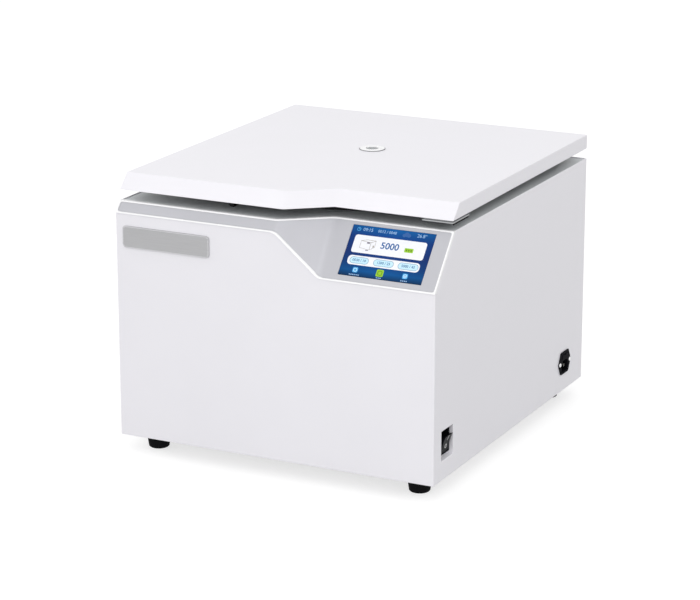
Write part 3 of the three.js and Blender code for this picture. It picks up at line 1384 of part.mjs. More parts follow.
function addChamber() {
  const chamber = groupAt(centrifuge, 0, AXIS_Y, 0);
  add(chamber, "chamber_bowl", chamberBowl(), STAINLESS);
  add(chamber, "chamber_seal", chamberSeal(), RUBBER);
  add(chamber, "guard_ring", guardRing(), STEEL);
  add(chamber, "shaft_boot", shaftBoot(), RUBBER);
  add(chamber, "motor_housing", motorHousing(), ALUMINIUM);
  const lowBearing = MOTOR_BOTTOM + MOTOR_FLOOR + FIT;
  const highBearing = MOTOR_SHOULDER + MOTOR_BOSS_HEIGHT - BEARING_HEIGHT - FIT;
  add(chamber, "shaft_bearing_lower", bearing(lowBearing), STEEL);
  add(chamber, "shaft_bearing_upper", bearing(highBearing), STEEL);
  add(chamber, "motor_plate", motorPlate(), STEEL);
  add(chamber, "motor_frame", motorFrame(), STEEL);
  around(DAMPER_COUNT, (angle) => angle).forEach((angle, i) => {
    const mesh = add(chamber, `motor_damper_${i + 1}`, damper(), RUBBER);
    mesh.position.set(DAMPER_CIRCLE * Math.cos(angle), DAMPER_CIRCLE * Math.sin(angle), 0);
  });
}

function addRotor() {
  const rotor = groupAt(centrifuge, 0, AXIS_Y, 0);
  add(rotor, "motor_shaft", motorShaft(), STEEL);
  add(rotor, "rotor_yoke", rotorYoke(), ALUMINIUM);
  add(rotor, "rotor_nut", rotorNut(), STAINLESS);
  around(BUCKET_COUNT, (angle) => angle).forEach((angle, i) => {
    const x = PIVOT_RADIUS * Math.cos(angle);
    const y = PIVOT_RADIUS * Math.sin(angle);
    const place = groupAt(rotor, x, y, PIVOT_Z);
    place.rotation.z = angle;
    add(place, `bucket_${i + 1}`, bucket(), ALUMINIUM);
  });
}

function addLid() {
  add(centrifuge, "lid_shell", lidShell(), WHITE_PAINT);
  add(centrifuge, "lid_liner", lidLiner(), BLACK_PLASTIC);
  add(centrifuge, "lid_corner_strip", lidCornerStrip(), STEEL);
  const port = groupAt(centrifuge, 0, AXIS_Y, 0);
  add(port, "sight_ring", sightRing(), WHITE_PLASTIC);
  add(port, "sight_glass", sightGlass(), CLEAR_GLASS);
  for (const [side, x] of [["left", LEFT + HINGE_MARGIN], ["right", RIGHT - HINGE_MARGIN]]) {
    const hinge = groupAt(centrifuge, x, HINGE_Y, HINGE_Z);
    add(hinge, `hinge_bracket_${side}`, hingeBracket(), STEEL);
    add(hinge, `hinge_pin_${side}`, hingePin(), STAINLESS);
    add(hinge, `hinge_leaf_${side}`, hingeLeaf(), STEEL);
  }
}

function addLock() {
  const lock = groupAt(centrifuge, LATCH_X, LATCH_Y, 0);
  add(lock, "latch_hook", latchHook(), STEEL);
  add(lock, "lock_housing", lockHousing(), BLACK_PLASTIC);
  add(lock, "lock_pawl", lockPawl(), STEEL);
}

function addElectrics() {
  add(centrifuge, "switch_bezel", switchBezel(), BLACK_PLASTIC);
  const pivot = groupAt(centrifuge, RIGHT - ROCKER_PIVOT, SWITCH_Y, SWITCH_Z);
  pivot.rotation.y = ROCKER_TILT;
  add(pivot, "switch_rocker", switchRocker(), BLACK_PLASTIC);
  add(centrifuge, "inlet_body", inletBody(), BLACK_PLASTIC);
  add(centrifuge, "inlet_blade_line", inletBlade(-BLADE_SPACING, -BLADE_STAGGER), NICKEL);
  add(centrifuge, "inlet_blade_neutral", inletBlade(BLADE_SPACING, -BLADE_STAGGER), NICKEL);
  add(centrifuge, "inlet_blade_earth", inletBlade(0, BLADE_STAGGER), NICKEL);
  add(centrifuge, "fuse_drawer", fuseDrawer(), BLACK_PLASTIC);
  add(centrifuge, "drive_board", driveBoard(), CIRCUIT_BOARD);
  const fan = groupAt(centrifuge, LEFT + FAN_RIGHT, REAR - INSIDE, BOTTOM + FAN_UP);
  fan.rotation.x = -Math.PI / 2;
  add(fan, "fan_frame", fanFrame(), BLACK_PLASTIC);
  add(fan, "fan_impeller", fanImpeller(), BLACK_PLASTIC);
}

addPanels();
addFront();
addChamber();
addRotor();
addLid();
addLock();
addElectrics();

export default centrifuge;
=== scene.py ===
"""The looks of a benchtop centrifuge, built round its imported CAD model.

Metres, +Z up, front faces -Y, as in the model. Painted steel, a moulded front with a touch screen,
a power switch and a mains inlet on the right-hand side, and under the lid a steel bowl with a
swing-out rotor.
"""
import math

import bmesh
import bpy
from mathutils import Matrix, Vector


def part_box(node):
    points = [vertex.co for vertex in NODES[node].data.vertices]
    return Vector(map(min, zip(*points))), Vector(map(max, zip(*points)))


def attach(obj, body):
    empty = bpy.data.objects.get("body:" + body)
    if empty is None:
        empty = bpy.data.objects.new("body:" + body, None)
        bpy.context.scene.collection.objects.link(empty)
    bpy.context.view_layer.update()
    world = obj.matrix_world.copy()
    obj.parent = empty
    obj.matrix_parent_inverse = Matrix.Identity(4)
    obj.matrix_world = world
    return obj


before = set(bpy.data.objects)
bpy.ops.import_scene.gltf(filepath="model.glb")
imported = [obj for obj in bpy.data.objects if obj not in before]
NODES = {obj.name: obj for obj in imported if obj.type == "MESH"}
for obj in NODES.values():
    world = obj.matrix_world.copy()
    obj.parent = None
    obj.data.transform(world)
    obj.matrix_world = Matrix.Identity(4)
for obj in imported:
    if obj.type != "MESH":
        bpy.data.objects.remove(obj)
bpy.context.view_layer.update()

MM = 0.001
SLOPE = math.radians(40.6)  # of the front's facets, from the vertical
MERGE = 1e-7  # corners closer than this are one
TINY = 1e-9  # smaller than this counts as nothing


def middle(node):
    low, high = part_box(node)
    return (low + high) / 2


def inward(low, high, inset):
    """The two ends of a span, each moved inward by an inset in millimetres."""
    return low + inset * MM, high - inset * MM


# Node helpers for materials

BUMP_STRENGTH = 0.5


def shade(tone, factor):
    return tuple(min(1.0, channel * factor) for channel in tone)


class Shader:
    """A Principled material that is put together step by step."""

    def __init__(self, name, roughness=0.5, metallic=0.0, **sockets):
        self.material = bpy.data.materials.new(name)
        self.material.use_nodes = True
        self.tree = self.material.node_tree
        self.bsdf = self.tree.nodes["Principled BSDF"]
        self.bsdf.inputs["Roughness"].default_value = roughness
        self.bsdf.inputs["Metallic"].default_value = metallic
        for socket, value in sockets.items():
            self.bsdf.inputs[socket.replace("_", " ")].default_value = value
        self.place = self.tree.nodes.new("ShaderNodeTexCoord").outputs["Object"]

    def node(self, kind, inputs=None, **settings):
        made = self.tree.nodes.new(kind)
        for key, value in settings.items():
            setattr(made, key, value)
        for key, value in (inputs or {}).items():
            if isinstance(value, bpy.types.NodeSocket):
                self.tree.links.new(value, made.inputs[key])
            else:
                made.inputs[key].default_value = value
        return made

    def math(self, operation, first, second=0.0):
        return self.node("ShaderNodeMath", {0: first, 1: second}, operation=operation).outputs[0]

    def stretched(self, scale):
        """The place, scaled on each axis."""
        return self.node("ShaderNodeMapping", {"Vector": self.place, "Scale": scale}).outputs[0]

    def noise(self, scale, detail, place=None):
        inputs = {"Vector": place or self.place, "Scale": scale, "Detail": detail}
        return self.node("ShaderNodeTexNoise", inputs).outputs["Fac"]

    def ramp(self, factor, stops):
        """A colour ramp through stops (position, colour), whose colour may be a single grey."""
        made = self.node("ShaderNodeValToRGB", {"Fac": factor})
        elements = made.color_ramp.elements
        while len(elements) < len(stops):
            elements.new(1.0)
        for element, (position, tone) in zip(elements, stops):
            element.position = position
            grey = isinstance(tone, (int, float))
            element.color = (tone, tone, tone, 1) if grey else (*tone, 1)
        return made.outputs["Color"]

    def color(self, source):
        self.tree.links.new(source, self.bsdf.inputs["Base Color"])
        return self

    def two_tones(self, factor, tone, spread, start=0.3, stop=0.7):
        """A colour that runs from a little below a tone to a little above it."""
        stops = [(start, shade(tone, 1 - spread)), (stop, shade(tone, 1 + spread))]
        return self.color(self.ramp(factor, stops))

    def roughness(self, factor, value, below, above):
        """A roughness that runs from a little below a value to a little above it."""
        level = self.ramp(factor, [(0.3, value - below), (0.7, value + above)])
        self.tree.links.new(level, self.bsdf.inputs["Roughness"])
        return self

    def bump(self, height, distance):
        inputs = {"Height": height, "Distance": distance, "Strength": BUMP_STRENGTH}
        normal = self.node("ShaderNodeBump", inputs).outputs[0]
        self.tree.links.new(normal, self.bsdf.inputs["Normal"])
        return self


def moulded(name, tone, roughness, grain, depth, spread, **sockets):
    """Plastic, rubber or paint: two close tones in soft patches, and a fine grain."""
    shader = Shader(name, **sockets)
    patches = shader.noise(14.0, 3.0)
    shader.two_tones(patches, tone, spread)
    shader.roughness(patches, roughness, 0.04, 0.04)
    return shader.bump(shader.noise(grain, 2.0), depth * MM).material


def brushed(name, tone, roughness, scale, spread, depth=0.01, metallic=1.0):
    """Metal with straight scratches: the noise is stretched by the scale on each axis."""
    shader = Shader(name, metallic=metallic)
    lines = shader.noise(1.0, 4.0, shader.stretched(scale))
    shader.two_tones(lines, tone, spread, 0.25, 0.75)
    shader.roughness(lines, roughness, 0.06, 0.08)
    return shader.bump(lines, depth * MM).material


TURN_SCALE = 0.004  # along the turn, so that the scratches are long


def spun(name, tone, roughness, centre, rings=900.0, spread=0.1, depth=0.01):
    """Metal with turned scratches round a vertical axis."""
    shader = Shader(name, metallic=1.0)
    shift = {"Vector": shader.place, "Location": (-centre[0], -centre[1], 0)}
    moved = shader.node("ShaderNodeMapping", shift).outputs[0]
    x, y, z = shader.node("ShaderNodeSeparateXYZ", {0: moved}).outputs
    square = shader.math("ADD", shader.math("MULTIPLY", x, x), shader.math("MULTIPLY", y, y))
    radius = shader.math("SQRT", square)
    turn = shader.math("MULTIPLY", shader.math("ARCTAN2", y, x), TURN_SCALE)
    polar = shader.node("ShaderNodeCombineXYZ", {0: radius, 1: z, 2: turn}).outputs[0]
    lines = shader.noise(rings, 3.0, polar)
    shader.two_tones(lines, tone, spread, 0.25, 0.75)
    shader.roughness(lines, roughness, 0.06, 0.08)
    return shader.bump(lines, depth * MM).material


def cast(name, tone, roughness, depth, metallic=1.0):
    """Cast or plated metal: mottled, with a coarse grain."""
    shader = Shader(name, metallic=metallic)
    patches = shader.noise(60.0, 4.0)
    grain = shader.noise(1200.0, 3.0)
    shader.color(shader.ramp(patches, [(0.3, shade(tone, 0.9)), (0.7, shade(tone, 1.08))]))
    shader.roughness(grain, roughness, 0.06, 0.08)
    return shader.bump(grain, depth * MM).material


def printed(name, tone, roughness=0.3, spread=0.02):
    """Ink or a lit shape on the display."""
    shader = Shader(name, roughness)
    return shader.two_tones(shader.noise(300.0, 1.0), tone, spread).material


# Materials

ROTOR_AXIS = middle("rotor_yoke")

PAINT = moulded("white_powder_coat", (0.84, 0.83, 0.87), 0.38, grain=1100.0, depth=0.012,
                spread=0.008)
MOULDING = moulded("white_moulding", (0.92, 0.92, 0.93), 0.28, grain=1800.0, depth=0.006,
                   spread=0.008)
DECK_PAINT = moulded("deck_paint", (0.79, 0.82, 0.84), 0.42, grain=1100.0, depth=0.012, spread=0.02)
FILM = moulded("silver_film", (0.522, 0.522, 0.557), 0.32, grain=2600.0, depth=0.008, spread=0.02,
               metallic=0.25)
ALONG_X = (30, 900, 900)  # the scale of scratches that run along X
ALONG_Z = (500, 500, 40)
PLATE = brushed("brushed_plate", (0.44, 0.44, 0.45), 0.4, ALONG_X, spread=0.05, metallic=0.35)
PLATE_RIM = brushed("polished_rim", (0.58, 0.58, 0.60), 0.3, ALONG_X, spread=0.03, metallic=0.35)
ZINC = cast("zinc_plate", (0.55, 0.56, 0.58), 0.38, depth=0.02)
POLISHED = brushed("polished_steel", (0.82, 0.82, 0.83), 0.3, ALONG_Z, spread=0.04)
STEEL_BRIGHT = brushed("ground_steel", (0.66, 0.66, 0.67), 0.25, ALONG_Z, spread=0.06)
STAINLESS = spun("spun_stainless", (0.62, 0.62, 0.63), 0.28, ROTOR_AXIS)
TURNED = spun("turned_steel", (0.62, 0.62, 0.63), 0.22, ROTOR_AXIS, rings=1600.0)
ANODISED = cast("anodised_aluminium", (0.52, 0.53, 0.55), 0.36, depth=0.008)
CASTING = cast("cast_aluminium", (0.50, 0.51, 0.52), 0.5, depth=0.12)
# Black rubber on the feet; on the corner bead the same black is painted shadow.
RUBBER_AND_SHADOW = moulded("black_rubber_and_painted_shadow", (0.007, 0.007, 0.008), 0.75, grain=900.0, depth=0.05, spread=0.2,
                 Specular_IOR_Level=0.05)
SEAL = moulded("seal_rubber", (0.018, 0.018, 0.020), 0.65, grain=1400.0, depth=0.03, spread=0.15,
               Specular_IOR_Level=0.15)
DARK = (0.0065, 0.0068, 0.0095)
BLACK = moulded("black_plastic", DARK, 0.6, grain=1600.0, depth=0.02, spread=0.15,
                Specular_IOR_Level=0.02)
GLAZED = moulded("glossy_black", DARK, 0.35, grain=1600.0, depth=0.006, spread=0.15,
                 Specular_IOR_Level=0.03)
TRIM = moulded("grey_trim", (0.42, 0.43, 0.44), 0.45, grain=1300.0, depth=0.02, spread=0.06)
# Painted shade: this dark grey stands for the shadowed groove round the sight ring's foot.
GROOVE_SHADE = moulded("painted_groove_shade", (0.16, 0.16, 0.17), 0.6, grain=1300.0, depth=0.02, spread=0.06)
OXIDE = cast("black_oxide", (0.035, 0.035, 0.038), 0.5, depth=0.02, metallic=0.6)
LINER = moulded("dark_liner", (0.05, 0.052, 0.056), 0.48, grain=1300.0, depth=0.03, spread=0.1)
NICKEL = cast("nickel_plate", (0.44, 0.43, 0.41), 0.24, depth=0.006)
BOARD = moulded("circuit_board", (0.02, 0.14, 0.07), 0.35, grain=400.0, depth=0.03, spread=0.25)
INK = printed("white_ink", (0.86, 0.86, 0.87), 0.45)
ENGRAVED = printed("engraved_fill", (0.03, 0.03, 0.035), 0.6)


def clear_glass():
    """Glass that lets the light through, with a faint haze."""
    shader = Shader("sight_glass", 0.03, Transmission_Weight=1.0, IOR=1.5)
    haze = shader.ramp(shader.noise(40.0, 2.0), [(0.3, (0.50, 0.53, 0.55)), (0.7, (0.56, 0.59, 0.61))])
    return shader.color(haze).material


GLASS = clear_glass()


# Screen frame: X along the screen, Y up the slope, Z out of the glass

screen_low, screen_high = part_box("touch_screen")
SCREEN_WIDTH = screen_high.x - screen_low.x
SCREEN_HEIGHT = 66.5 * MM  # up the slope
SCREEN_THICKNESS = 1.6 * MM
OUT = Vector((0, -math.cos(SLOPE), math.sin(SLOPE)))
UP = Vector((0, math.sin(SLOPE), math.cos(SLOPE)))
GLASS_FACE = middle("touch_screen") + OUT * SCREEN_THICKNESS / 2
SCREEN = Matrix.Translation(GLASS_FACE) @ Matrix((
    (1, 0, 0),
    (0, UP.y, OUT.y),
    (0, UP.z, OUT.z),
)).to_4x4()


def display_glass():
    """The lit ground of the display: deep blue, with a lighter band along the top and the bottom."""
    shader = Shader("display_glass", 0.3, Specular_IOR_Level=0.1)
    x, _, z = shader.node("ShaderNodeSeparateXYZ", {0: shader.place}).outputs
    along = shader.math("DIVIDE", shader.math("SUBTRACT", x, GLASS_FACE.x), SCREEN_WIDTH)
    high = shader.math("SUBTRACT", z, GLASS_FACE.z)
    rise = shader.math("DIVIDE", high, SCREEN_HEIGHT * math.cos(SLOPE))
    level = shader.ramp(shader.math("ADD", rise, 0.5), [
        (0.0, (0.004, 0.030, 0.09)),
        (0.12, (0.004, 0.080, 0.27)),
        (0.26, (0.006, 0.050, 0.20)),
        (0.50, (0.010, 0.035, 0.17)),
        (0.80, (0.006, 0.045, 0.22)),
        (1.0, (0.006, 0.105, 0.34)),
    ])
    aside = shader.math("ABSOLUTE", shader.math("MULTIPLY", along, 1.5))
    glow = shader.ramp(shader.math("SUBTRACT", 1.0, aside), [(0.2, 0.85), (1.0, 1.15)])
    both = {0: 1.0, 6: level, 7: glow}
    lit = shader.node("ShaderNodeMix", both, data_type="RGBA", blend_type="MULTIPLY")
    return shader.color(lit.outputs[2]).material


DISPLAY = display_glass()

# The material of each node of the model

LOOKS = {
    PAINT: ["housing_shell", "base_pan", "rear_panel", "lid_shell"],
    DECK_PAINT: ["deck_panel"],
    MOULDING: ["fascia_bezel", "sight_ring"],
    FILM: ["fascia_inlay"],
    PLATE: ["nameplate"],
    DISPLAY: ["touch_screen"],
    ZINC: [
        "display_module", "guard_ring", "motor_plate", "motor_frame",
        "hinge_bracket_left", "hinge_bracket_right", "hinge_leaf_left", "hinge_leaf_right",
    ],
    STEEL_BRIGHT: [
        "shaft_bearing_lower", "shaft_bearing_upper", "hinge_pin_left", "hinge_pin_right", "lock_pawl",
    ],
    STAINLESS: ["chamber_bowl"],
    TURNED: ["motor_shaft", "rotor_nut"],
    ANODISED: ["rotor_yoke", "bucket_1", "bucket_2", "bucket_3", "bucket_4"],
    CASTING: ["motor_housing"],
    RUBBER_AND_SHADOW: ["foot_front_left", "foot_front_right", "foot_rear_left", "foot_rear_right"],
    SEAL: ["chamber_seal", "shaft_boot", "motor_damper_1", "motor_damper_2", "motor_damper_3"],
    BLACK: ["switch_bezel", "inlet_body", "fuse_drawer"],
    GLAZED: ["switch_rocker"],
    TRIM: ["lid_corner_strip"],
    OXIDE: ["latch_hook"],
    LINER: ["lid_liner", "lock_housing", "fan_frame", "fan_impeller"],
    NICKEL: ["inlet_blade_line", "inlet_blade_neutral", "inlet_blade_earth"],
    BOARD: ["control_board", "drive_board"],
    GLASS: ["sight_glass"],
}

# Width of the rounding on the nodes' edges, in millimetres

EDGE = 0.4  # where no other is given
EDGES = {
    "housing_shell": 0.7, "lid_shell": 0.8, "base_pan": 0.6, "deck_panel": 0.2, "fascia_bezel": 0.7,
    "nameplate": 0.5, "rotor_yoke": 0.8, "chamber_seal": 0.6, "inlet_body": 0.5, "switch_rocker": 0.5,
    "foot_front_left": 0.7, "foot_front_right": 0.7, "foot_rear_left": 0.7, "foot_rear_right": 0.7,
    "fascia_inlay": 0.15, "touch_screen": 0.2, "sight_glass": 0.15, "sight_ring": 0.3,
}
SHARP = math.radians(40)  # edges that turn by more than this are rounded


def soften(thing, width):
    """Merges a CAD node's facets into flat faces and rounds its edges, without touching its mesh."""
    thing.data.polygons.foreach_set("use_smooth", [True] * len(thing.data.polygons))
    weld = thing.modifiers.new("weld", "WELD")
    weld.merge_threshold = 0.01 * MM
    flats = thing.modifiers.new("flats", "DECIMATE")
    flats.decimate_type = "DISSOLVE"
    flats.angle_limit = math.radians(0.5)
    bevel = thing.modifiers.new("edges", "BEVEL")
    bevel.width = width * MM
    bevel.segments = 3
    bevel.limit_method = "ANGLE"
    bevel.angle_limit = SHARP
    bevel.use_clamp_overlap = True
    normals = thing.modifiers.new("normals", "WEIGHTED_NORMAL")
    normals.keep_sharp = True


for look, names in LOOKS.items():
    for name in names:
        node = NODES[name]
        node.data.materials.clear()
        node.data.materials.append(look)
        soften(node, EDGES.get(name, EDGE))


# Pieces made here


def piece(name, mesh, look, body, matrix):
    """A new piece with its material and the body that it rides on."""
    made = bpy.data.objects.new(name, mesh)
    bpy.context.scene.collection.objects.link(made)
    mesh.materials.append(look)
    mesh.transform(matrix)
    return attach(made, body)


def finished(name, bm):
    """A mesh of a bmesh, shaded smooth apart from its sharp edges."""
    bmesh.ops.recalc_face_normals(bm, faces=bm.faces[:])
    for face in bm.faces:
        face.smooth = True
    for edge in bm.edges:
        edge.smooth = len(edge.link_faces) == 2 and edge.calc_face_angle() < SHARP
    mesh = bpy.data.meshes.new(name)
    bm.to_mesh(mesh)
    bm.free()
    return mesh


def ring_points(radius, count, z=0.0, centre=(0, 0)):
    """Corners of a circle, anticlockwise."""
    step = 2 * math.pi / count
    angles = [i * step for i in range(count)]
    return [(centre[0] + radius * math.cos(a), centre[1] + radius * math.sin(a), z) for a in angles]


CORNER_STEPS = 6


def rounded_points(width, height, radius, centre=(0, 0)):
    """Corners of a rounded rectangle, anticlockwise."""
    points = []
    for sx, sy, start in ((1, 1, 0), (-1, 1, 90), (-1, -1, 180), (1, -1, 270)):
        cx = centre[0] + sx * (width / 2 - radius)
        cy = centre[1] + sy * (height / 2 - radius)
        for i in range(CORNER_STEPS + 1):
            angle = math.radians(start + 90 * i / CORNER_STEPS)
            points.append((cx + radius * math.cos(angle), cy + radius * math.sin(angle), 0.0))
    return points


def prism(bm, points, low, high, holes=()):
    """A closed prism over an outline, with holes, between two heights."""
    loops = [list(points), *[list(hole) for hole in holes]]
    for z in (low, high):
        edges = []
        for loop in loops:
            verts = [bm.verts.new((x, y, z)) for x, y, _ in loop]
            edges += [bm.edges.new((verts[i - 1], verts[i])) for i in range(len(verts))]
        bmesh.ops.triangle_fill(bm, use_beauty=True, use_dissolve=False, edges=edges)
    for loop in loops:
        for i in range(len(loop)):
            (ax, ay, _), (bx, by, _) = loop[i - 1], loop[i]
            corners = ((ax, ay, low), (bx, by, low), (bx, by, high), (ax, ay, high))
            bm.faces.new([bm.verts.new(corner) for corner in corners])
    bmesh.ops.remove_doubles(bm, verts=bm.verts[:], dist=MERGE)


def lathe(bm, profile, count):
    """A profile of (radius, height) turned round Z, closed where it starts or ends on the axis."""
    rows = []
    for radius, z in profile:
        if radius < TINY:
            rows.append([bm.verts.new((0, 0, z))])
        else:
            rows.append([bm.verts.new(p) for p in ring_points(radius, count, z)])
    for low, high in zip(rows, rows[1:]):
        for i in range(count):
            a, b = low[i % len(low)], low[(i + 1) % len(low)]
            c, d = high[(i + 1) % len(high)], high[i % len(high)]
            corners = [v for k, v in enumerate((a, b, c, d)) if v not in (a, b, c, d)[:k]]
            if len(corners) > 2:
                bm.faces.new(corners)


def facing(place, direction, spin=0.0):
    """A matrix that puts a piece at a place with its +Z along a direction."""
    turn = Vector(direction).to_track_quat("Z", "Y").to_matrix().to_4x4()
    return Matrix.Translation(Vector(place)) @ turn @ Matrix.Rotation(spin, 4, "Z")


# A screw

SCREW_SIDES = 24
SCREW_TURN = 37  # degrees from one screw to the next
HEAD_HEIGHT = 0.55  # as a share of the head's radius
HEAD_PROFILE = [(1.0, 0.0), (1.0, 0.35), (0.92, 0.7), (0.74, 1.0)]  # shares of its radius and height
CROSS_SIZE = 1.15  # length of the recess's arms, tip to tip, as a share of the radius
CROSS_WIDTH = 0.26  # width of an arm, as a share of the radius
CROSS_TAPER = 0.8  # size of its floor, as a share of its opening
CROSS_FLOOR = 0.45  # height of its floor, as a share of the head's


def cross_points(size, width):
    """Corners of a cross with four equal arms, anticlockwise."""
    a, b = size / 2, width / 2
    arm = [(a, -b), (a, b), (b, b)]
    corners = []
    for _ in range(4):
        corners += arm
        arm = [(-y, x) for x, y in arm]
    return corners


def screw_mesh(name, radius, height):
    """A pan head with a cross recess, standing on z = 0."""
    bm = bmesh.new()
    lathe(bm, [(radius * across, height * up) for across, up in HEAD_PROFILE], SCREW_SIDES)
    rim = [v for v in bm.verts if abs(v.co.z - height) < TINY]
    foot = [v for v in bm.verts if abs(v.co.z) < TINY]
    bm.faces.new(sorted(foot, key=lambda v: -math.atan2(v.co.y, v.co.x)))
    rim.sort(key=lambda v: math.atan2(v.co.y, v.co.x))
    corners = cross_points(radius * CROSS_SIZE, radius * CROSS_WIDTH)
    cross = [bm.verts.new((x, y, height)) for x, y in corners]
    edges = [bm.edges.get((rim[i - 1], rim[i])) for i in range(len(rim))]
    edges += [bm.edges.new((cross[i - 1], cross[i])) for i in range(len(cross))]
    bmesh.ops.triangle_fill(bm, use_beauty=True, use_dissolve=False, edges=edges)
    inside = [f for f in bm.faces if all(v in cross for v in f.verts)]
    bmesh.ops.delete(bm, geom=inside, context="FACES_ONLY")
    low = height * CROSS_FLOOR
    floor = [bm.verts.new((v.co.x * CROSS_TAPER, v.co.y * CROSS_TAPER, low)) for v in cross]
    for i in range(len(cross)):
        bm.faces.new((cross[i - 1], cross[i], floor[i], floor[i - 1]))
    bm.faces.new(floor)
    return finished(name, bm)


def screws(prefix, places, direction, radius, body, look=ZINC, height=None):
    """A screw at each place, each turned a little differently; its radius is in millimetres."""
    for i, place in enumerate(places, start=1):
        name = f"{prefix}_{i}"
        mesh = screw_mesh(name, radius * MM, (height or radius * HEAD_HEIGHT) * MM)
        spin = math.radians(SCREW_TURN * i)
        piece(name, mesh, look, body, facing(place, direction, spin))


# Display, drawn in millimetres from the middle of the glass

LAYER = 0.03 * MM  # thickness of a printed shape
DISC_SIDES = 32
FIGURE_SHARE = 0.72  # of a figure's height in its type size


def on_screen(name, bm, look, layer):
    """A flat shape on the glass; higher layers lie on lower ones."""
    matrix = SCREEN @ Matrix.Translation((0, 0, layer * LAYER))
    return piece(f"display_{name}", finished(name, bm), look, "housing", matrix)


def in_metres(points):
    """Flat points, given in millimetres."""
    return [(x * MM, y * MM, 0.0) for x, y, *_ in points]


def panel_shape(name, centre, size, radius, look, layer, rim=0.0):
    """A rounded rectangle on the glass, or its outline where a rim width is given."""
    bm = bmesh.new()
    outer = in_metres(rounded_points(*size, radius, centre=centre))
    holes = []
    if rim:
        inner = (size[0] - 2 * rim, size[1] - 2 * rim)
        holes.append(in_metres(rounded_points(*inner, radius - rim, centre=centre)))
    prism(bm, outer, 0, LAYER, holes)
    return on_screen(name, bm, look, layer)


def disc_shape(name, centre, radius, look, layer, hole=0.0):
    """A disc on the glass, or a ring where the radius of a hole is given."""
    bm = bmesh.new()
    holes = [in_metres(ring_points(hole, DISC_SIDES, centre=centre))] if hole else []
    prism(bm, in_metres(ring_points(radius, DISC_SIDES, centre=centre)), 0, LAYER, holes)
    return on_screen(name, bm, look, layer)


def polygon_shape(name, points, look, layer):
    bm = bmesh.new()
    prism(bm, in_metres(points), 0, LAYER)
    return on_screen(name, bm, look, layer)


def numerals(name, text, height, look, body, matrix, weight=0.0):
    """Plain numerals as a mesh, centred on the matrix's origin, of a height in millimetres."""
    curve = bpy.data.curves.new(name, "FONT")
    curve.body = text
    curve.size = height * MM / FIGURE_SHARE
    curve.align_x = "CENTER"
    curve.align_y = "CENTER"
    curve.extrude = LAYER / 2
    curve.offset = weight * MM
    curve.resolution_u = 3
    holder = bpy.data.objects.new(name, curve)
    bpy.context.scene.collection.objects.link(holder)
    bpy.context.view_layer.update()
    shaped = holder.evaluated_get(bpy.context.evaluated_depsgraph_get())
    mesh = bpy.data.meshes.new_from_object(shaped)
    bpy.data.objects.remove(holder)
    bpy.data.curves.remove(curve)
    mesh.materials.clear()
    return piece(name, mesh, look, body, matrix)


def screen_numerals(name, text, centre, height, look, layer, weight):
    """Plain numerals on the glass, centred on a place."""
    place = SCREEN @ Matrix.Translation((centre[0] * MM, centre[1] * MM, layer * LAYER + LAYER / 2))
    return numerals(f"display_{name}", text, height, look, "housing", place, weight)


def outline_shape(name, points, width, look, layer):
    """A closed line of a width along an outline; neighbouring strokes differ a little in height."""
    bm = bmesh.new()
    for i in range(len(points)):
        start, stop = Vector(points[i - 1]), Vector(points[i])
        along = (stop - start).normalized() * width / 2
        across = Vector((-along.y, along.x))
        first, last = start - along, stop + along
        corners = [first - across, last - across, last + across, first + across]
        rise = (i % 2) * LAYER / 4
        prism(bm, in_metres([(p.x, p.y) for p in corners]), rise, rise + LAYER / 2)
    return on_screen(name, bm, look, layer)


def dash_row(name, centre, count, look, layer):
    """A row of short dashes, as the label of a key."""
    length, height, corner, pitch = 1.6, 1.3, 0.4, 2.3
    bm = bmesh.new()
    for i in range(count):
        x = centre[0] + (i - (count - 1) / 2) * pitch
        prism(bm, in_metres(rounded_points(length, height, corner, centre=(x, centre[1]))), 0, LAYER)
    return on_screen(name, bm, look, layer)


PAPER = printed("display_white", (0.87, 0.88, 0.93))
PALE = printed("display_pale_blue", (0.55, 0.80, 0.96))
MISTY = printed("display_misty_blue", (0.30, 0.50, 0.78))
SKY = printed("display_sky_blue", (0.06, 0.38, 0.76))
PILL_RIM = printed("display_pill_rim", (0.11, 0.27, 0.38))
SLATE = printed("display_slate", (0.06, 0.20, 0.36))
DEEP = printed("display_deep_blue", (0.0, 0.10, 0.33))
DUSK = printed("display_dusk_blue", (0.015, 0.10, 0.34))
GREEN = printed("display_green", (0.30, 0.58, 0.005))
DARK_GREEN = printed("display_dark_green", (0.09, 0.22, 0.005))
SAND = printed("display_sand", (0.36, 0.33, 0.28))
GREY = printed("display_grey", (0.20, 0.19, 0.25))


def status_row():
    """A clock with the time, a programme number, a cloud and the temperature."""
    clock_x, clock_y = -45.2, 28.0
    disc_shape("clock_ring", (clock_x, clock_y), 2.5, SKY, 1, hole=1.9)
    hands = [(clock_x, clock_y + 1.4), (clock_x, clock_y - 0.1), (clock_x + 1.3, clock_y - 0.1)]
    outline_shape("clock_hands", hands, 0.4, SKY, 1)
    screen_numerals("time", "09:15", (-33.2, 28.2), 4.2, MISTY, 1, weight=0.05)
    screen_numerals("programme", "0012 / 0048", (-8.2, 28.2), 3.6, MISTY, 1, weight=0.04)
    puffs = [((14.2, 26.9), 2.2), ((17.2, 28.3), 3.0), ((20.4, 27.1), 2.4)]
    for i, (centre, radius) in enumerate(puffs, start=1):
        disc_shape(f"cloud_{i}", centre, radius, DUSK, i)
    screen_numerals("temperature", "26.8°", (37.0, 28.4), 4.4, MISTY, 1, weight=0.05)


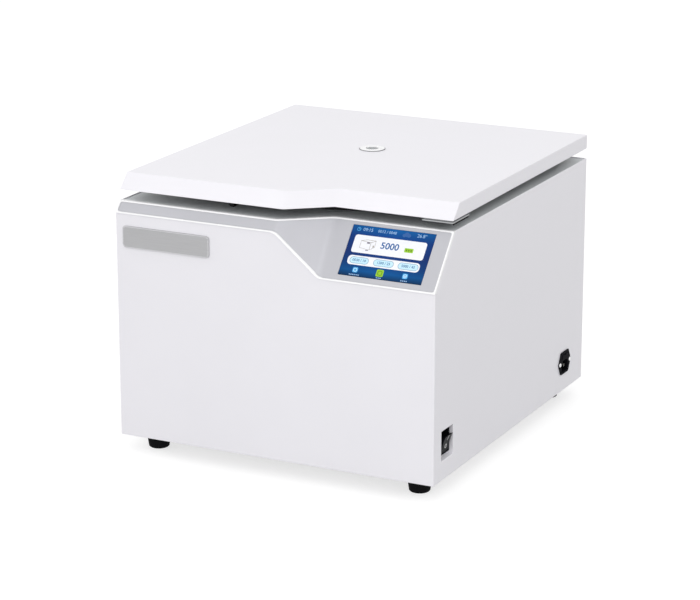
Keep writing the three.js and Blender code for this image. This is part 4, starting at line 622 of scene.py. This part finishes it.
def instrument_icon():
    """A small line drawing of an instrument: its top, front and side meet in one corner."""
    near, left, right = (-24.5, 12.2), (-37.5, 13.4), (-18.5, 15.0)
    near_foot, left_foot, right_foot = (-24.5, 2.4), (-37.5, 4.2), (-18.5, 6.4)
    outline_shape("icon_top", [left, (-30.0, 15.4), right, near], 0.5, SAND, 2)
    outline_shape("icon_front", [left, near, near_foot, left_foot], 0.4, SAND, 4)
    outline_shape("icon_side", [near, right, right_foot, near_foot], 0.4, SAND, 6)
    panel_shape("icon_screen", (-27.6, 11.4), (4.0, 1.8), 0.5, GREY, 8)
    panel_shape("icon_switch", (-20.3, 7.4), (1.6, 2.6), 0.4, SAND, 8)
    panel_shape("icon_foot", (-27.3, 1.6), (3.6, 1.0), 0.4, GREY, 8)


def main_field():
    """A pale field with the drawing, the speed and a tag."""
    panel_shape("field", (-0.2, 9.2), (93.6, 23.4), 3.2, PAPER, 1)
    instrument_icon()
    screen_numerals("speed", "5000", (0.6, 9.9), 8.6, DEEP, 2, weight=0.22)
    tag_y = 8.2
    panel_shape("tag", (25.8, tag_y), (11.2, 5.6), 0.6, GREEN, 2)
    for i in range(3):
        panel_shape(f"tag_mark_{i + 1}", (22.8 + 3.0 * i, tag_y), (1.7, 2.4), 0.5, DARK_GREEN, 3)


def settings_row():
    """Three buttons with values, on a pale row."""
    y, height, corner = -12.4, 8.6, 4.2
    panel_shape("row", (-0.8, y), (93.4, 12.2), 4.6, PAPER, 1)
    buttons = [(-32.4, 24.6, "0030 / 10"), (-0.7, 26.2, "1200 / 25"), (31.2, 26.2, "5000 / 45")]
    for i, (x, width, figures) in enumerate(buttons, start=1):
        panel_shape(f"button_{i}", (x, y), (width, height), corner, PALE, 2)
        panel_shape(f"button_rim_{i}", (x, y), (width, height), corner, PILL_RIM, 3, rim=0.5)
        screen_numerals(f"button_value_{i}", figures, (x, y + 0.1), 3.3, SLATE, 3, weight=0.09)


def key_row():
    """Two blue keys and a green one between them, each over a label of dashes."""
    y, size = -24.9, 6.8
    for side, x, count in (("left", -33.6, 6), ("right", 31.2, 4)):
        panel_shape(f"key_{side}", (x, y), (size, size), 1.6, SKY, 1)
        disc_shape(f"key_{side}_ring", (x, y), 2.5, PALE, 2, hole=1.7)
        dash_row(f"key_{side}_label", (x, -31.2), count, MISTY, 1)
    polygon_shape("key_right_mark", [(30.6, y - 1.0), (32.4, y), (30.6, y + 1.0)], PAPER, 2)
    green_centre = (-1.4, -25.2)
    panel_shape("key_centre", green_centre, (9.2, 9.2), 1.6, GREEN, 1)
    panel_shape("key_centre_ring", green_centre, (5.8, 5.8), 1.4, DARK_GREEN, 2, rim=0.8)
    dash_row("key_centre_label", (green_centre[0], -31.6), 3, MISTY, 1)


def dress_display():
    status_row()
    main_field()
    settings_row()
    key_row()


# Nameplate, bare but for a raised rim

PLATE_CORNER = 5.0
RIM_WIDTH = 1.2
RIM_INSET = 0.3  # from the plate's edge
RIM_HEIGHT = 0.3


def dress_nameplate():
    low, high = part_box("nameplate")
    width, height = (high.x - low.x) / MM, (high.z - low.z) / MM
    edges = []
    for inset in (RIM_INSET, RIM_INSET + RIM_WIDTH):
        size = (width - 2 * inset, height - 2 * inset)
        edges.append(in_metres(rounded_points(*size, PLATE_CORNER - inset)))
    outer, inner = edges
    bm = bmesh.new()
    prism(bm, outer, 0, RIM_HEIGHT * MM, [inner])
    centre = middle("nameplate")
    upright = Matrix.Translation((centre.x, low.y, centre.z)) @ Matrix.Rotation(math.radians(90), 4, "X")
    piece("nameplate_rim", finished("nameplate_rim", bm), PLATE_RIM, "housing", upright)


# Lid

# A ring round the sight ring's foot whose dark grey is painted shade for the groove there
SHADE_RING_OUTSIDE = 16.5 * MM
SHADE_RING_INSIDE = 16.04 * MM
SHADE_RING_HEIGHT = 0.6 * MM
SHADE_RING_SIDES = 64
# A bead under the corner strip's side whose black is painted shadow
BEAD_RADIUS = 1.2 * MM
BEAD_SIDES = 16
BEAD_SET_IN = 0.1 * MM  # into the strip over it
BEAD_REAR = 1.0 * MM  # short of the strip's rear end
BEAD_FRONT = 2.0 * MM  # short of its front end


def dress_sight_port():
    """A dark grey ring round the foot of the sight port's ring: painted shade, standing for the shadowed
    groove between the ring and the lid.
    """
    centre = middle("sight_ring")
    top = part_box("lid_shell")[1].z
    bm = bmesh.new()
    inside = ring_points(SHADE_RING_INSIDE, SHADE_RING_SIDES)
    prism(bm, ring_points(SHADE_RING_OUTSIDE, SHADE_RING_SIDES), 0, SHADE_RING_HEIGHT, [inside])
    place = Matrix.Translation((centre.x, centre.y, top))
    piece("sight_ring_painted_shade", finished("sight_ring_painted_shade", bm), GROOVE_SHADE, "lid", place)


def dress_corner_strip():
    """A black bead under the side of the lid's corner strip: painted shadow, standing for the dark line
    of shade under the strip's side.
    """
    low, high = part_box("lid_corner_strip")
    rear = high.y - BEAD_REAR
    length = rear - low.y - BEAD_FRONT
    profile = [(0.0, 0.0), (BEAD_RADIUS, BEAD_RADIUS), (BEAD_RADIUS, length - BEAD_RADIUS), (0.0, length)]
    bm = bmesh.new()
    lathe(bm, profile, BEAD_SIDES)
    place = (high.x - BEAD_RADIUS, rear, low.z - BEAD_RADIUS + BEAD_SET_IN)
    bead = finished("corner_painted_shadow", bm)
    piece("corner_painted_shadow", bead, RUBBER_AND_SHADOW, "lid", facing(place, (0, -1, 0)))


# Power switch, in millimetres

ROCKER_TILT = math.radians(15)
ROCKER_PIVOT = 8.6  # below the side
ROCKER_HALF = 11.3
ROCKER_MIDDLE = 6.7  # of its hollow face, above the pivot
ROCKER_HOLLOW = 1.3  # depth of the hollow
ON_PLACE = 7.3  # of the bar's middle, above that of the rocker
ON_BAR = (1.2, 6.6)
OFF_PLACE = 4.1  # of the ring's middle, below it
OFF_RING = (2.7, 1.9)  # its radius and that of its hole
OFF_SIDES = 28
MARK_RISE = 0.08  # so that the flat marks clear the hollow face
MARK_THICKNESS = 2 * LAYER


def bar_mark():
    bm = bmesh.new()
    prism(bm, in_metres(rounded_points(*ON_BAR, 0.3)), 0, MARK_THICKNESS)
    return bm


def ring_mark():
    bm = bmesh.new()
    outside, inside = [in_metres(ring_points(radius, OFF_SIDES)) for radius in OFF_RING]
    prism(bm, outside, 0, MARK_THICKNESS, [inside])
    return bm


def dress_switch():
    """A white bar at the raised end of the rocker and a ring at the pressed end."""
    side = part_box("housing_shell")[1].x
    bezel = middle("switch_bezel")
    pivot = Matrix.Translation((side - ROCKER_PIVOT * MM, bezel.y, bezel.z))
    turn = pivot @ Matrix.Rotation(ROCKER_TILT, 4, "Y")
    to_face = Matrix(((0, 0, 1), (1, 0, 0), (0, 1, 0))).to_4x4()

    marks = [("on_mark", 1, ON_PLACE, bar_mark()), ("off_mark", -1, OFF_PLACE, ring_mark())]
    for name, end, reach, bm in marks:
        share = reach / ROCKER_HALF
        rise = ROCKER_MIDDLE + ROCKER_HOLLOW * share * share + MARK_RISE
        lean = math.atan(2 * ROCKER_HOLLOW * share / ROCKER_HALF)
        place = Matrix.Translation((rise * MM, 0, end * reach * MM))
        matrix = turn @ place @ to_face @ Matrix.Rotation(end * lean, 4, "X")
        piece(name, finished(name, bm), INK, "rocker", matrix)


# Screws in their places, in millimetres

RIGHTWARD = (1, 0, 0)
REARWARD = (0, 1, 0)
UPWARD = (0, 0, 1)
DOWNWARD = (0, 0, -1)
INLET_SCREW_PLACE = 16.5  # to each side of the inlet's middle
INLET_SCREW_SINK = 0.1  # into its face
LINER_SHEET = 1.5  # thickness of the liner
LINER_ROWS = (-110, 38, 186)  # along Y


def dress_inlet():
    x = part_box("inlet_body")[1].x - INLET_SCREW_SINK * MM
    centre = middle("inlet_body")
    places = [(x, centre.y + side * INLET_SCREW_PLACE * MM, centre.z) for side in (-1, 1)]
    screws("inlet_screw", places, RIGHTWARD, 2.7, "housing", POLISHED, height=1.1)


def dress_rear():
    low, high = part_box("rear_panel")
    left, right = inward(low.x, high.x, 7)
    bottom, top = inward(low.z, high.z, 8)
    half_way = (low.z + high.z) / 2
    places = [(x, high.y, z) for x in (left, 0.0, right) for z in (bottom, half_way, top)]
    places.remove((0.0, high.y, half_way))
    screws("rear_screw", places, REARWARD, 3.2, "housing")


def dress_base():
    low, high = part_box("base_pan")
    front, rear = inward(low.y, high.y, 12)
    places = [(x, y, low.z) for x in inward(low.x, high.x, 12) for y in (front, 0, rear)]
    screws("base_screw", places, DOWNWARD, 3.2, "housing")


def dress_hinges():
    for side in ("left", "right"):
        low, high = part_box(f"hinge_bracket_{side}")
        y, foot = low.y + 5 * MM, low.z + 2 * MM
        places = [(x, y, foot) for x in inward(low.x, high.x, 8)]
        screws(f"hinge_foot_screw_{side}", places, UPWARD, 2.6, "housing")


def dress_deck():
    low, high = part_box("deck_panel")
    rows = (low.y + 95 * MM, high.y - 9 * MM)
    places = [(x, y, high.z) for x in inward(low.x, high.x, 24) for y in rows]
    screws("deck_screw", places, UPWARD, 3.0, "housing", STEEL_BRIGHT)


def dress_liner():
    low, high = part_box("lid_liner")
    sheet = high.z - LINER_SHEET * MM
    places = [(x, y * MM, sheet) for x in inward(low.x, high.x, 12) for y in LINER_ROWS]
    screws("liner_screw", places, DOWNWARD, 2.8, "lid", STEEL_BRIGHT)


# Rotor, in millimetres

ARMS = 4
ARM_FACE = 2  # below the top of the yoke
NUMBER_RADIUS = 45  # from the axis
NUMBER_HEIGHT = 7.0
GRIPS = 36
GRIP_OUTLINE = [(-0.4, -0.9), (0.45, 0.0), (-0.4, 0.9)]  # from the side of the nut
GRIP_TOP = 6.5  # below the top of the nut
GRIP_FOOT = 1.2  # above its foot


def number_arms():
    """The number of its bucket on each arm of the rotor."""
    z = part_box("rotor_yoke")[1].z - ARM_FACE * MM
    hub = Vector((ROTOR_AXIS.x, ROTOR_AXIS.y, z))
    for i in range(ARMS):
        angle = 2 * math.pi * i / ARMS
        place = hub + Vector((math.cos(angle), math.sin(angle), 0)) * NUMBER_RADIUS * MM
        matrix = Matrix.Translation(place) @ Matrix.Rotation(angle - math.pi / 2, 4, "Z")
        numerals(f"place_number_{i + 1}", str(i + 1), NUMBER_HEIGHT, ENGRAVED,
                 "rotor", matrix)


def dress_nut():
    """Ribs for the fingers round the rotor nut."""
    low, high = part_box("rotor_nut")
    side = Matrix.Translation(((high.x - low.x) / 2, 0, 0))
    bm = bmesh.new()
    for i in range(GRIPS):
        turn = Matrix.Rotation(2 * math.pi * i / GRIPS, 4, "Z") @ side
        outline = [tuple(turn @ Vector(point)) for point in in_metres(GRIP_OUTLINE)]
        prism(bm, outline, low.z + GRIP_FOOT * MM, high.z - GRIP_TOP * MM)
    centre = Matrix.Translation((ROTOR_AXIS.x, ROTOR_AXIS.y, 0))
    piece("nut_grip", finished("nut_grip", bm), TURNED, "rotor", centre)


dress_display()
dress_nameplate()
dress_sight_port()
dress_corner_strip()
dress_switch()
dress_inlet()
dress_rear()
dress_base()
dress_hinges()
dress_deck()
dress_liner()
number_arms()
dress_nut()


# Studio

WORLD_LIGHT = 0.825
FLOOR_TONE = 0.42
FLOOR_LIFT = 0.66  # to the camera and in reflections, so that the lit floor is white
FLOOR_GRAIN = 0.01
FLOOR_REACH = 6.0
AIM = Vector((0, 0, 0.15))  # of the lamps


def floor_material():
    """A pale floor that is white where it is fully lit, and keeps the object's shadow."""
    shader = Shader("studio_floor", 0.9)
    grain = shader.noise(6.0, 2.0)
    shader.color(shader.ramp(grain, [(0.3, FLOOR_TONE - FLOOR_GRAIN), (0.7, FLOOR_TONE + FLOOR_GRAIN)]))
    rays = shader.node("ShaderNodeLightPath")
    seen = shader.math("MAXIMUM", rays.outputs["Is Camera Ray"], rays.outputs["Is Glossy Ray"])
    seen = shader.math("MAXIMUM", seen, rays.outputs["Is Transmission Ray"])
    lift = shader.node("ShaderNodeEmission", {"Strength": shader.math("MULTIPLY", seen, FLOOR_LIFT)})
    both = shader.node("ShaderNodeAddShader", {0: shader.bsdf.outputs[0], 1: lift.outputs[0]})
    output = shader.tree.nodes["Material Output"]
    shader.tree.links.new(both.outputs[0], output.inputs["Surface"])
    return shader.material


def build_floor():
    bm = bmesh.new()
    bmesh.ops.create_grid(bm, x_segments=2, y_segments=2, size=FLOOR_REACH)
    mesh = bpy.data.meshes.new("studio_floor")
    bm.to_mesh(mesh)
    bm.free()
    floor = bpy.data.objects.new("studio_floor", mesh)
    bpy.context.scene.collection.objects.link(floor)
    mesh.materials.append(floor_material())


def build_world():
    """White to the camera, in reflections and through glass, and a softer white as light."""
    world = bpy.data.worlds.new("studio")
    bpy.context.scene.world = world
    world.use_nodes = True
    tree = world.node_tree
    background = tree.nodes["Background"]
    rays = tree.nodes.new("ShaderNodeLightPath")
    seen = rays.outputs["Is Camera Ray"]
    for kind in ("Is Glossy Ray", "Is Transmission Ray"):
        either = tree.nodes.new("ShaderNodeMath")
        either.operation = "MAXIMUM"
        tree.links.new(seen, either.inputs[0])
        tree.links.new(rays.outputs[kind], either.inputs[1])
        seen = either.outputs[0]
    strength = tree.nodes.new("ShaderNodeMapRange")
    strength.inputs["To Min"].default_value = WORLD_LIGHT
    strength.inputs["To Max"].default_value = 1.0
    tree.links.new(seen, strength.inputs["Value"])
    tree.links.new(strength.outputs[0], background.inputs["Strength"])
    background.inputs["Color"].default_value = (1, 1, 1, 1)


def area_light(name, place, size, power):
    """A rectangular lamp at a place, turned to the middle of the object."""
    light = bpy.data.lights.new(name, "AREA")
    light.shape = "RECTANGLE"
    light.size, light.size_y = size
    light.energy = power
    holder = bpy.data.objects.new(name, light)
    bpy.context.scene.collection.objects.link(holder)
    holder.location = place
    holder.rotation_euler = (AIM - Vector(place)).to_track_quat("-Z", "Y").to_euler()


build_floor()
build_world()
area_light("key_front", (0.7, -3.0, 1.3), (1.6, 1.2), 16.5)
area_light("low_front", (0.9, -3.0, 0.5), (2.0, 0.8), 9)
area_light("fill_front_right", (0.9, -2.0, 2.2), (1.2, 1.2), 7)
area_light("fill_right", (2.6, -0.2, 2.0), (1.4, 1.4), 6.8)
area_light("fill_left", (-2.8, 0.1, 0.9), (1.6, 0.8), 17)

# Camera

CAMERA_PLACE = Vector((1.4079, -2.8592, 1.0904))
CAMERA_LOOK = Vector((-0.42725, 0.85981, -0.27962))
FOCAL_LENGTH = 133.2
SENSOR_WIDTH = 36
CLIP_START = 0.05


def build_camera():
    lens = bpy.data.cameras.new("camera")
    lens.lens = FOCAL_LENGTH
    lens.sensor_width = SENSOR_WIDTH
    lens.clip_start = CLIP_START
    camera = bpy.data.objects.new("camera", lens)
    bpy.context.scene.collection.objects.link(camera)
    camera.location = CAMERA_PLACE
    camera.rotation_euler = CAMERA_LOOK.to_track_quat("-Z", "Y").to_euler()
    return camera


bpy.context.scene.camera = build_camera()
bpy.context.scene.view_settings.view_transform = "Standard"
